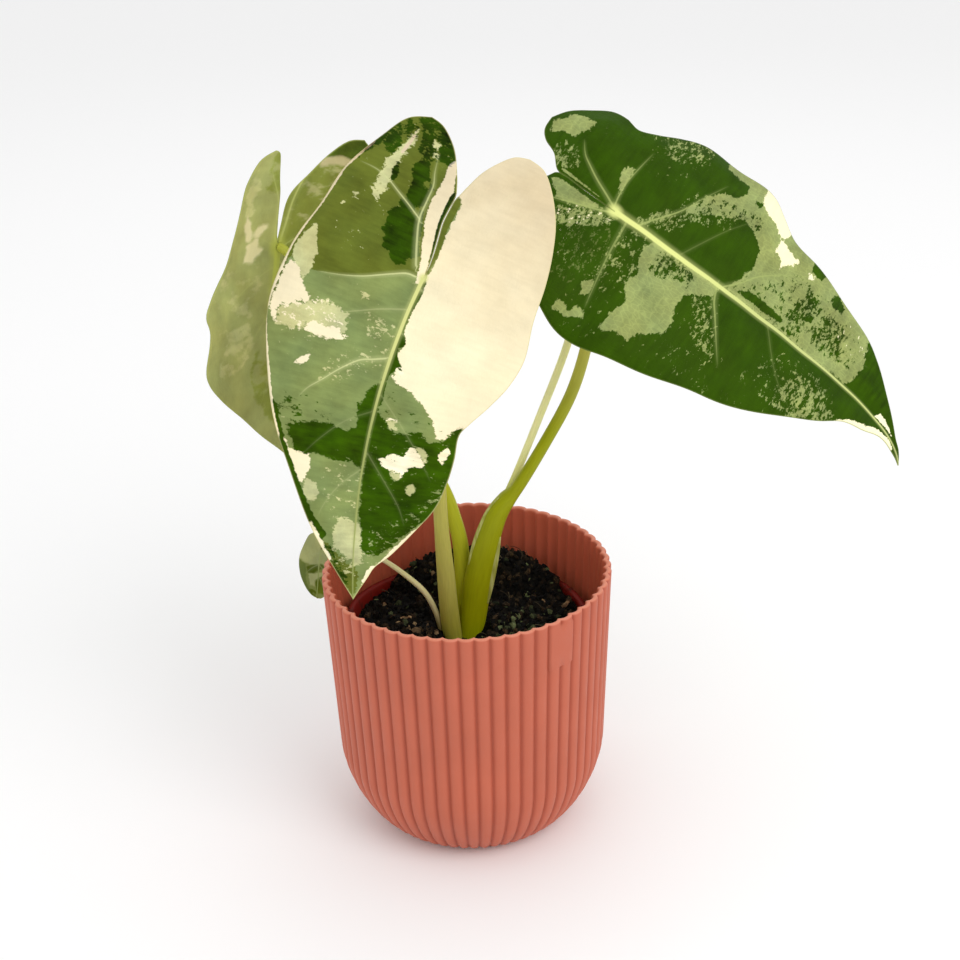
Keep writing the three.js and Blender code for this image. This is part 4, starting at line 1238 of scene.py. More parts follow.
            (73.6, -18.7), (74, -15), (77, -13.5), (79.8, -14.6), (79.6, -17.6), (77, -19))),
        ("pale", -1.2, 1.8, ((64, -10), (66, -2), (84, -2), (84, -8), (74, -12))),
        ("dark", FULL, 0.35, (
            (57, -30.8), (64, -26.8), (71, -22.4), (78, -18.4), (84, -14.6), (90.1, -9.2), (93, -12),
            (87.5, -16.4), (79, -21), (71, -25.6), (62, -31), (57, -34))),
        ("pale", 1.6, 1.3, (
            (84.5, -6), (84, -3), (86, 1.4), (91, 2.6), (95, 3), (99, 3), (100, 0), (97.5, -2.4),
            (93.4, -6.4), (89, -7.6))),
        ("olive", FULL, 0.8, (
            (92.4, -10.4), (95, -6.4), (97.6, -3.4), (100, -0.6), (102, 2.2), (106, 1.4), (111.5, 0),
            (107.3, -2.4), (99.5, -8))),
        ("dark", 0.1, 1.6, ((93, -11), (95, -7.6), (100, -4.4), (105, -2), (107, -3), (100, -8))),
        ("pale", -0.5, 1.6, ((95, -7), (97, -2.6), (104, -0.2), (106, -3))),
        ("cream", FULL, 0.6, (
            (-60, -8), (-60, 50), (40, 50), (45, 33), (52.6, 27.6), (52.4, 25), (51.6, 23),
            (46.5, 20.5), (41.5, 16), (38.4, 10.6), (36.4, 5), (35, 2.6), (34, 6), (31, 4.6),
            (27.4, 1.9), (23.4, 3.2), (18, 1.3), (12, 1.6), (5, 1.5), (0, 0.9), (-15, 0.5), (-28, 0.4),
            (-29.8, -0.4), (-30.6, -2.9), (-45, -2.9))),
        # Painted shade: the grey-green band along the right lobe's sinus edge
        ("olive", FULL, 0.3, (
            (-30.6, -2.6), (-29.6, -0.5), (-26, 0), (-20, -0.3), (-15, 0.6), (-8, 1.4), (-3, 1.5),
            (-1, 0.5), (-5, -0.1), (-10, -0.8), (-15, -1.7), (-20, -2.6))),
        ("dark", FULL, 0.3, (
            (-1, 0.3), (1, 1.8), (6, 2.1), (12, 1.6), (19, 1.4), (22.6, 3.6), (24, 3.4), (25.4, 1.6),
            (28, 2.2), (30, 4.4), (33.6, 7), (34, 5.6), (32, 3.6), (34.4, 1.6), (38, 1.4), (44, 2.2),
            (46, 0.3))),
        ("cream", FULL, 0.6, ((31.6, 3.4), (33.6, 3), (37.6, 7.6), (37, 10), (34, 8.4))),
        ("dark", -1.0, 1.6, ((32, 1), (32, 5), (46, 5), (46, 0))),
        ("olive", FULL, 0.3, ((-24.4, 13.6), (-24.4, 14.4), (-23.6, 14.4), (-23.6, 13.6))),
        ("olive", FULL, 0.3, ((-1.4, 14.7), (-1.4, 15.4), (-0.8, 15.4), (-0.8, 14.7))),
        ("olive", FULL, 0.3, ((29.7, 23.7), (29.7, 24.5), (30.5, 24.5), (30.5, 23.7))),
        ("dark", FULL, 0.9, (
            (36.5, -0.4), (42, 1.6), (47.4, 1.2), (49.4, 3.6), (53.4, 8.6), (52.3, 13.6), (51.2, 17.4),
            (54, 21.3), (51.2, 25.8), (46, 29.1), (46, 33), (60, 34), (72, 31), (82, 24), (88, 17.4),
            (92.4, 12.6), (95.6, 8.4), (96, 4.8), (93, 2.4), (88, 2.4), (84, 0.8), (75.1, 0.9),
            (60, 0.2))),
        ("dark", -1.4, 1.8, ((45, 2), (46, 14), (49, 22), (54, 22), (54, 6))),
        ("cream", FULL, 0.8, ((48.6, 4.6), (48.2, 7.6), (51, 8.8), (51.4, 6))),
        ("cream", FULL, 0.6, (
            (63.1, 4.9), (60.7, 8.6), (60.1, 13.4), (56.8, 14.8), (57, 17), (59.4, 20.2), (62.6, 20.6),
            (63.6, 16.4), (66, 14.4), (68.2, 13.6), (66.8, 10.6), (65.3, 6.9))),
        ("pale", FULL, 0.8, ((56.4, 15.6), (56.2, 19.4), (58.4, 21.6), (61.4, 21), (59, 18.4))),
        ("pale", FULL, 0.8, ((66, 9.4), (66.4, 13.6), (69.4, 13.2), (69, 10.4))),
        ("cream", FULL, 0.7, (
            (59.4, 24.8), (56.4, 25.2), (54.4, 27.4), (55.4, 29), (58, 27.6), (60.2, 26.6))),
        ("pale", FULL, 0.8, ((49.4, 5.4), (49, 8), (52, 9), (52.6, 6.4))),
        ("pale", FULL, 0.7, ((70.7, 16), (69, 18), (71.2, 19.3), (73.7, 17.6), (72.6, 16))),
        ("pale", -1.5, 1.7, ((50, 4), (50, 26), (66, 27), (78, 19), (80, 6), (66, 2))),
        ("pale", -0.3, 1.1, ((66, 28.8), (70, 26), (77.3, 20.6), (79, 22), (73, 27.4), (68, 30))),
        ("pale", -0.8, 1.5, ((80, 20), (84, 14), (88, 6), (97, 2), (98, 8), (88, 18), (83, 23))),
        ("cream", FULL, 0.35, (
            (80, 27), (86, 20), (94.6, 12.4), (100, 7), (103, 4.6), (104, 8), (96, 16), (84, 27))),
        ("cream", FULL, 0.6, ((99, 6.8), (100.6, 5.4), (103.4, 4), (106, 3), (105, 5), (101, 8))),
        ("cream", FULL, 0.4, (
            (86.4, -15), (89, -12.8), (94, -9.8), (98, -7.2), (99, -9), (93, -13.4), (87, -17))),
        ("cream", FULL, 0.25, (
            (25, -52), (26.5, -46.9), (38, -41.1), (54.5, -33.8), (62, -29.6), (64, -34), (40, -48))),
        ("cream", FULL, 0.2, (
            (-38, -40), (-37, -36.8), (-24, -42), (-8, -44.2), (8, -46.8), (22, -47.3), (26, -46.2),
            (26, -50), (8, -50), (-24, -46))),
    ),
}

RIGHT_LEAF = {
    "blade": {
        "junction": (56.7, 18, 236.9), "face": (-70, 43), "turn": 41.8, "length": 140.5,
        "half_width": 52, "droop": (16, 1.5), "lobe_droop": 35, "sway": (-49, 12),
        "fold": (8, 8), "dome": (24, 24), "wave": (0.8, 13),
    },
    "keel": 1.3,
    "quilt": 0.55,
    "rows": (44, 168, 62),
    "edges": (
        ((-33, -19), (-30, -27), (-23, -35), (-14, -41.5), (-6, -46.5), (5, -51.3), (16, -52),
         (27, -49.6), (40.5, -46), (54.5, -42), (68, -38), (81, -32.3), (94, -24.3), (102.5, -18.6),
         (111, -11.6), (120, -7.7), (127.5, -3.2), (135, -1.6), (140.5, 0)),
        ((-33, -19), (-32.5, -12), (-30.5, -6), (-27.3, -1.4), (-24, 2.3), (-12, 0.7), (0, 0)),
        ((-39, 23), (-35, 29.2), (-28.5, 34.1), (-22, 37.7), (-15.6, 37.7), (-9.6, 35.9), (-2.8, 39.8),
         (5, 45.5), (13.3, 48.9), (25.4, 49.6), (38, 50.8), (46, 48.5), (53, 42.8), (61, 36.9),
         (72.7, 33.9), (86.2, 28.8), (101, 23.3), (110, 17.5), (120.3, 9.4), (130, 3.2), (135.5, 1.6),
         (140.5, 0)),
        ((-39, 23), (-38.5, 17), (-35.5, 12.4), (-30, 8.6), (-25.4, 2.9), (-20, 1.95), (-12, 0.85),
         (0, 0)),
    ),
    "veins": (
        (0.80, 0.85, ((0, -0.8), (-6.4, -4.3), (-14.2, -7.1), (-19.8, -8.8), (-27, -11))),
        (0.65, 0.6, (
            (5.8, -1.6), (6.3, -7.1), (6.7, -13.8), (7.8, -22.7), (9.7, -33.8), (10.8, -39.3))),
        (0.70, 0.75, ((45.2, -0.4), (46.9, -6), (50.2, -11.6), (54.7, -19.3), (60.8, -28.2))),
        (0.45, 0.2, ((24, -1), (26, -12), (29, -26), (33, -38))),
        (0.45, 0.2, ((68, -0.5), (74, -9), (82, -18), (90, -23))),
        (0.60, 0.8, ((0, 0.8), (-9.8, 6.2), (-16.4, 10.7), (-20.3, 14), (-23.7, 19.6))),
        (0.50, 0.75, ((-0.9, 1.4), (-1.8, 6.2), (-2.2, 12.9), (-1.4, 21.8), (-0.3, 30.7))),
        (0.60, 0.8, ((10.2, 1.2), (12.4, 5.1), (16.3, 10.7), (20.2, 17.3), (23.6, 26.2), (29.1, 39.6))),
        (0.55, 0.8, ((47.5, 1.4), (51.4, 6.2), (55.8, 12.9), (62.5, 19.6), (70.2, 26.2))),
        (0.45, 0.2, ((28, 1.2), (33, 12), (38, 22), (44, 32))),
        (0.40, 0.35, ((70, 1), (77, 7), (86, 14), (94, 18))),
        (0.35, 0.3, ((88, 0.8), (95, 6), (102, 11), (108, 13))),
    ),
    "patches": (
        ("pale", FULL, 0.9, (
            (-35.9, 16.4), (-37.4, 21.8), (-34.5, 24), (-33.1, 27.9), (-28.1, 29.3), (-23.7, 27.9),
            (-23.7, 24.2), (-25.9, 21.8), (-26.7, 18.7), (-32.6, 18.2))),
        ("pale", -0.4, 1.8, ((-29, 6), (-29.5, 14), (-24, 14), (-20, 8), (-23, 4))),
        ("pale", FULL, 0.8, (
            (-3.7, 10.2), (-5.9, 14.6), (-5.3, 18.4), (-2.9, 19.6), (-2, 11.8), (-1.8, 6.2))),
        ("pale", -2.0, 1.8, ((-16, 13), (-18, 30), (-6, 32), (0, 26), (-4, 14))),
        ("pale", -0.5, 1.0, ((-5.6, 38.4), (-5, 35.6), (2, 40), (3.5, 43.6), (0, 42.4))),
        ("pale", -0.6, 2.2, ((3, 34), (4, 44), (12, 48), (17, 48), (16, 40), (9, 34))),
        ("pale", -1.9, 2.0, ((-2, 22), (2, 36), (20, 44), (24, 36), (14, 26))),
        ("pale", FULL, 0.7, (
            (-19.2, -8.8), (-22, -5.4), (-25.3, -1.6), (-22, 0.1), (-13.1, -1.4), (-3.1, -2),
            (-8.7, -5.4))),
        ("cream", -1.3, 1.9, (
            (-14.2, -17.7), (-17, -12.1), (-12, -8.2), (-5.3, -6), (1.3, -4), (-3.7, -8.8),
            (-9.8, -14.3))),
        ("pale", 0.2, 1.9, (
            (-16, -18), (-18, -12), (-12, -7.6), (-4, -4.6), (2, -3), (-2, -9.8), (-8, -15.3))),
        ("cream", -2.2, 1.9, ((-16, -28), (-14, -16), (-4, -12), (0, -20), (-8, -28))),
        ("olive", -0.9, 2.0, ((-17, -36), (-15, -15), (0, -8), (5, -14), (2, -34))),
        ("pale", -1.7, 2.0, ((-18, -34), (-18, -16), (0, -8), (6, -14), (2, -32))),
        ("pale", FULL, 0.9, (
            (1.3, -46.4), (0.8, -42.9), (3, -42.1), (6.9, -43.8), (8, -39.9), (11.3, -40.4),
            (12.4, -42.9), (6.9, -45.6))),
        ("pale", FULL, 0.7, ((6.9, -36.2), (4.4, -32.1), (8, -28.8), (9.3, -33.8))),
        ("pale", -0.9, 2.1, ((6.5, -28), (7, -4), (18, -2), (19, -14), (16, -24))),
        ("pale", -1.7, 2.1, ((2, -46), (8, -30), (18, -26), (19, -42), (14, -48))),
        ("pale", FULL, 0.8, (
            (18.9, -43.2), (18.9, -36), (21.1, -29.3), (17.4, -22.7), (19.3, -17.1), (16.9, -12.1),
            (15.8, -6), (18, -0.6), (46, -0.6), (45.8, -5.4), (41.3, -8.2), (36.9, -12.7),
            (36.3, -19.3), (39.1, -24.9), (38.6, -29.3), (35.8, -32.1), (31.3, -35.4), (29.1, -40.4),
            (24.7, -40.4))),
        ("dark", 0.1, 1.9, (
            (22.5, -12.6), (21.6, -4), (24, -1.4), (31, -1.2), (36.4, -3), (36, -9.6), (31, -8.6),
            (27.5, -13))),
        ("dark", 0.6, 1.2, ((23.5, -13), (24, -9), (27, -9), (27, -13))),
        ("pale", -0.5, 1.7, (
            (38, -7), (42, -14), (45, -22), (50, -27), (56, -26), (55.2, -22), (50.2, -11.6),
            (47.5, -6))),
        ("pale", -1.6, 2.0, ((40, -40), (40, -22), (50, -22), (60, -26), (61, -38))),
        ("pale", -1.3, 2.1, ((70, -26), (74, -12), (82, -6), (101, -6), (100, -16), (90, -26))),
        ("pale", -0.2, 2.0, ((84, -26), (85, -10), (100, -8), (101, -16), (94, -24))),
        ("pale", 0.0, 1.6, (
            (90, -26), (93, -20), (99, -16), (106, -12), (108, -14), (103, -20), (95, -26))),
        ("pale", -2.1, 2.0, ((24, -46), (30, -38), (70, -28), (84, -30), (60, -42))),
        ("cream", FULL, 0.5, (
            (105, -17), (109.1, -12.2), (112.5, -9.3), (118, -6.4), (124.7, -2), (130.2, -0.6),
            (134, -0.8), (134, -5), (122, -11), (110, -16))),
        ("pale", -0.4, 2.0, ((9, 3), (12, 8), (18, 15), (22, 20), (26, 19), (22, 10), (15, 3))),
        ("pale", -0.9, 2.1, ((18, 14), (22, 26), (30, 32), (38, 30), (36, 22), (26, 17))),
        ("pale", FULL, 0.8, (
            (20.2, 16.6), (21.9, 21.8), (24.7, 28.4), (29.1, 35.1), (33.6, 35.7), (36.3, 40.7),
            (35.8, 45.1), (24.7, 46.2), (24.7, 49), (33.6, 53), (44, 53), (48, 40), (44.1, 28.4),
            (40.2, 29.6), (32.4, 24), (26.9, 20.4), (23, 17.6))),
        ("pale", FULL, 0.8, (
            (44.1, 28.4), (50.2, 23.4), (52.5, 16.2), (50.2, 6.2), (47.6, 1), (72, 1), (90, 0.6),
            (104, 1.4), (105.2, 4), (106.9, 10.7), (103.6, 20.7), (104, 30), (60, 48), (43, 54))),
        ("dark", FULL, 0.9, ((30.4, 36.4), (31.4, 41.6), (35.4, 42.4), (35.4, 39), (33.4, 36))),
        ("dark", FULL, 0.9, ((40.6, 38.4), (40.8, 40.8), (43.4, 41), (43.6, 39))),
        ("dark", -0.7, 2.1, ((24, 20), (24, 26), (34, 32), (46, 34), (46, 28), (34, 24))),
        ("dark", FULL, 0.5, ((51, 2.6), (56, 5.6), (64, 6), (72, 5.2), (72, 3.4), (62, 2.6))),
        ("dark", -0.8, 1.8, ((51, 2), (51, 9), (70, 12), (74, 6), (70, 2))),
        ("dark", 0.5, 2.0, ((72.5, 9.6), (72.5, 16), (76, 20.7), (81.4, 20), (81.4, 11))),
        ("dark", 0.1, 2.0, ((73.6, 2), (73, 10), (80, 10), (80, 2))),
        ("dark", 0.2, 2.1, ((84.7, 5), (83, 12), (86, 19.5), (93, 18), (97, 12), (96, 6))),
        ("dark", -1.0, 2.0, ((60, 12), (66, 24), (84, 22), (102, 16), (102, 8), (80, 8))),
        ("dark", FULL, 0.8, ((83.6, 23.6), (83.4, 27.6), (86, 28.8), (89, 26.4), (88.6, 23), (86, 22))),
        ("dark", FULL, 0.7, ((71.4, 29.4), (71.4, 36), (77.4, 35), (76.4, 29))),
        ("cream", FULL, 0.6, (
            (43, 41.8), (42.4, 46), (42, 53), (49.1, 52), (56, 44), (58.4, 37.9), (56.9, 34),
            (54.1, 33.4), (50.2, 37.3), (46.9, 37.8))),
        ("cream", FULL, 0.8, (
            (55.6, 26.4), (56, 29), (55.6, 32.3), (58.6, 32.3), (61.9, 30.4), (65.8, 29.8),
            (64.9, 26.2), (62.2, 24.9), (60.8, 21.8), (58.9, 25.7))),
        ("cream", FULL, 0.7, ((71.4, 26.2), (71.2, 28.6), (73.6, 29), (74, 26.6))),
        ("cream", -1.3, 1.6, ((92, 15), (93, 21), (99, 20), (103, 15), (99, 13))),
        ("cream", -1.9, 1.6, ((66, 24), (70, 30), (88, 26), (94, 18), (84, 18))),
        ("dark", FULL, 0.9, (
            (104.6, 4), (106.3, 10.7), (103, 20.7), (103, 27), (113, 22), (122, 11), (122, 4.6),
            (115.8, 4.6), (111.4, 2.9), (108.6, 5.1))),
        ("cream", FULL, 0.4, ((120.4, 1), (121, 3.4), (126, 2.6), (130, 1.4))),
        ("dark", FULL, 0.2, ((-23, 2.4), (-15, 1.6), (-7, 0.9), (-7, 0.2), (-23, 0.2))),
        ("pale", FULL, 0.2, ((-24, 4.6), (-16, 3), (-7, 1.7), (-6, 1.4), (-15, 2.2), (-24, 3.4))),
    ),
}

REAR_LEAF = {
    "blade": {
        "junction": (-64.7, 26, 226.3), "face": (147, 6), "turn": 9, "length": 92,
        "half_width": 40, "droop": (8, 1), "lobe_droop": 30, "sway": (-32, 1.5),
        "fold": (-16, 4), "dome": (22, 14), "wave": (0.9, 20),
    },
    "keel": 0.9,
    "quilt": 0.5,
    "rows": (44, 120, 50),
    "edges": (
        ((-45, -25), (-38, -33), (-25, -36), (-10, -37), (5, -39), (20, -38.5), (35, -35), (50, -27.5),
         (65, -17), (78, -8), (92, 0)),
        ((-45, -25), (-43, -19), (-36, -13), (-28, -8), (-18.8, -2), (-8, -0.8), (0, 0)),
        ((-37, 13), (-33.6, 20.5), (-25.2, 23.4), (-15.3, 23.7), (-4.4, 26.2), (5, 28.7), (13.4, 35.6),
         (18.5, 39.8), (24.2, 37.8), (34.8, 38.9), (40.5, 36.9), (48, 30.6), (59, 20), (70.5, 11.6),
         (80, 5.5), (92, 0)),
        ((-37, 13), (-35, 9.5), (-25, 5), (-18.8, 2.6), (-8, 0.8), (0, 0)),
    ),
    "veins": (
        (0.90, 0.7, ((0, -0.6), (-8, -2.6), (-19, -4.2), (-29.1, -7.5), (-36, -13))),
        (0.60, 0.45, ((1, -1), (-4, -10), (-8, -20), (-10, -30))),
        (0.60, 0.45, ((6, -1), (9, -10), (15, -20), (22, -30))),
        (0.55, 0.4, ((30, -0.5), (36, -9), (43, -17), (48, -22))),
        (0.45, 0.35, ((52, -0.5), (58, -6), (64, -11))),
        (0.80, 0.45, ((0, 0.6), (-3.6, 1.9), (-10, 2.2), (-18, 3.6), (-26, 9), (-31, 13))),
        (0.55, 0.15, ((0, 1), (-3, 8), (-6, 15), (-8, 21))),
        (0.60, 0.15, ((7.6, 1.4), (11, 10), (16, 20), (22, 31))),
        (0.55, 0.15, ((24, 0.8), (31, 9), (38, 18), (43, 26))),
        (0.45, 0.1, ((46, 0.5), (53, 6), (60, 12))),
    ),
    "patches": (
        ("pale", 0.5, 1.6, ((-32, 15.4), (-31, 20), (-22, 21), (-13, 19.4), (-13, 16), (-22, 16.6))),
        ("olive", 0.2, 1.5, ((-36, 5), (-36, 11), (-26, 13), (-20, 11), (-20, 4))),
        ("cream", FULL, 0.6, ((-8.6, 6), (-8.2, 12), (-5.6, 14.6), (-4, 12), (-5, 8.6), (-6.4, 7))),
        ("cream", FULL, 0.6, (
            (-12.8, 18.6), (-9.6, 16), (-6, 14.8), (-3.4, 15.4), (-3, 18), (-6, 18.6), (-8.4, 20.6))),
        ("cream", FULL, 0.6, (
            (-3.4, 11.4), (-1, 10.4), (0.4, 7.6), (2.6, 8.2), (4.8, 13), (4.2, 17.4), (1, 16.6),
            (-2, 17.6))),
        ("pale", -0.2, 1.6, ((27, 13), (27, 25), (33, 31), (41, 28), (41, 18), (34, 12))),
        ("pale", -1.0, 1.6, ((6, 8), (6, 26), (14, 34), (24, 32), (24, 12), (12, 6))),
        ("olive", 0.2, 1.4, ((34, 2), (38, 9), (46, 13), (56, 11), (68, 4), (60, 1), (40, 1))),
        ("olive", FULL, 0.8, (
            (-50, -30), (-46, -12), (-30, -5), (-18, -0.6), (-8, 0), (0, 0), (7, -10), (5, -42),
            (-20, -44), (-50, -42))),
        ("pale", -0.9, 1.4, ((-34, -20), (-26, -6), (-10, -3), (-8, -16), (-22, -30))),
        ("dark", FULL, 0.7, (
            (-48, -26), (-44, -18), (-37, -11.6), (-34.6, -12.6), (-35.6, -18), (-35, -25), (-38, -36),
            (-46, -34))),
        ("cream", FULL, 0.5, (
            (-35.6, -24), (-36.4, -18), (-35.2, -12.4), (-32.4, -9.8), (-31, -11.6), (-32.6, -16),
            (-32.6, -22), (-33.6, -26))),
        ("olive", 0.4, 1.8, ((12, -34), (12, -12), (34, -10), (40, -30))),
        ("cream", FULL, 1.0, ((40, -26), (42, -20), (52, -18), (56, -22), (52, -30), (44, -34))),
    ),
}

SMALL_LEAF = {
    "blade": {
        "junction": (-57, 25, 101.5), "face": (-128, 18), "turn": 0, "length": 20,
        "half_width": 12, "droop": (10, 1), "lobe_droop": 10, "sway": (0, 1),
        "fold": (8, 8), "dome": (24, 24), "wave": (0.3, 0),
    },
    "keel": 0.4,
    "quilt": 0.3,
    "rows": (20, 60, 28),
    "edges": (
        ((-6.5, -4.5), (-4.5, -7.6), (0, -9.8), (6, -11.5), (12, -10.2), (16.4, -7), (19.2, -3.4),
         (20, 0)),
        ((-6.5, -4.5), (-4.5, -2), (-2, -0.7), (0, 0)),
        ((-6, 4), (-4, 6.5), (0, 7.6), (6, 7.6), (12, 6.8), (16.4, 5), (19.2, 2.4), (20, 0)),
        ((-6, 4), (-4.5, 2), (-2, 0.7), (0, 0)),
    ),
    "veins": (
        (0.45, 0.7, ((0, 0), (-2, -2), (-4, -4))),
        (0.45, 0.7, ((1, 0), (2.5, -4), (5, -8))),
        (0.45, 0.7, ((5.5, 0), (8, -3.6), (11.5, -7))),
        (0.40, 0.7, ((10.5, 0), (13, -2.4), (15.5, -4.4))),
        (0.45, 0.7, ((0, 0), (-2, 2), (-4, 3.4))),
        (0.45, 0.7, ((1, 0), (2, 3), (4, 6))),
        (0.45, 0.7, ((5.5, 0), (7.5, 2.6), (10, 5))),
        (0.40, 0.7, ((10.5, 0), (12.5, 1.8), (14.5, 3.2))),
    ),
    "patches": (
        ("pale", FULL, 0.5, ((-7, -12), (-7, 8), (3, 8), (5.4, 3), (5.6, -1), (6.6, -4.4), (6.6, -12))),
        ("olive", FULL, 0.5, (
            (6, -12), (7, -7), (11, -6.6), (16, -5.6), (19, -2.6), (21, 0), (21, -12))),
        ("dark", FULL, 0.5, (
            (10.6, -5.4), (8.4, -6.4), (6.6, -2.6), (5.6, 1.6), (6.2, 3.4), (7.8, 0.6), (9.8, -2.6))),
        ("dark", FULL, 0.5, (
            (12.8, -1.8), (10.6, 1), (8.6, 4.4), (8.8, 7), (14, 6.6), (17.4, 3.6), (17.8, 0.6),
            (15.6, -1))),
        ("pale", FULL, 0.6, (
            (10.8, -5), (10.4, -2.4), (7.6, 3), (7.8, 6), (9.6, 2.4), (12.2, -1.4), (15, -1.6),
            (15.6, -4))),
        ("dark", 0.2, 1.2, ((17, -4), (17.6, -0.8), (20, 0), (20, -3))),
        ("cream", FULL, 0.4, ((1, 8.4), (2, 7.2), (6, 7), (12, 6.2), (16, 4.6), (17, 8), (8, 9))),
    ),
}


# What one face of a leaf looks like: its ground, its patches, its veins and its midrib
class Face:
    def __init__(self, ground, olive, pale, dark, cream, vein, rib_start, rib_end, vein_strength=1.0):
        self.ground = paint(*ground)
        self.layers = [paint(*shade) for shade in (olive, pale, dark, cream)]
        self.vein, self.vein_strength = paint(*vein), vein_strength
        self.rib_start, self.rib_end = paint(*rib_start), paint(*rib_end)


FACES = {
    "front": (
        Face((127, 141, 84), (97, 107, 38), (194, 193, 139), (47, 77, 1), (236, 222, 186),
             (206, 210, 150), (212, 214, 138), (156, 164, 98)),
        Face((150, 158, 104), (138, 146, 88), (188, 190, 140), (112, 126, 62), (232, 224, 184),
             (186, 192, 130), (204, 208, 134), (190, 196, 120), 0.8),
    ),
    "right": (
        Face((43, 72, 0), (92, 106, 50), (140, 150, 91), (43, 72, 0), (241, 232, 190),
             (160, 172, 102), (222, 228, 142), (196, 204, 130)),
        Face((116, 132, 66), (126, 140, 76), (166, 174, 118), (108, 124, 58), (232, 226, 180),
             (178, 186, 118), (206, 212, 132), (190, 198, 120), 0.8),
    ),
    "rear": (
        Face((72, 98, 28), (92, 110, 50), (150, 160, 106), (48, 78, 8), (236, 228, 180),
             (160, 172, 104), (214, 220, 140), (190, 198, 120)),
        # Underside: paler of itself, and lightened further as painted light for the light shining
        # through the leaf from behind
        Face((167, 170, 103), (145, 153, 69), (190, 188, 126), (88, 106, 32), (224, 214, 162),
             (200, 206, 122), (190, 196, 92), (184, 190, 106), 1.2),
    ),
    "small": (
        Face((114, 122, 62), (90, 102, 44), (152, 155, 102), (76, 88, 2), (214, 204, 166),
             (150, 158, 110), (144, 152, 96), (130, 140, 78), 0.6),
        Face((130, 138, 80), (130, 138, 80), (170, 172, 126), (118, 126, 66), (210, 206, 160),
             (176, 182, 126), (186, 192, 126), (176, 182, 116), 0.8),
    ),
}


# How far the noise moves between the two halves and between the layers, and how far it pushes an
# edge in millimetres
HALVES_APART = 40.0
LAYERS_APART = 7.3
FRAY_REACH = 6.6
# How strong the soft colours are at their strongest
HALO_SHARE = 0.28
SOFT_RIB_SHARE = 0.25
HEART_SHARE = 0.85
MARGIN_SHARE = 0.55


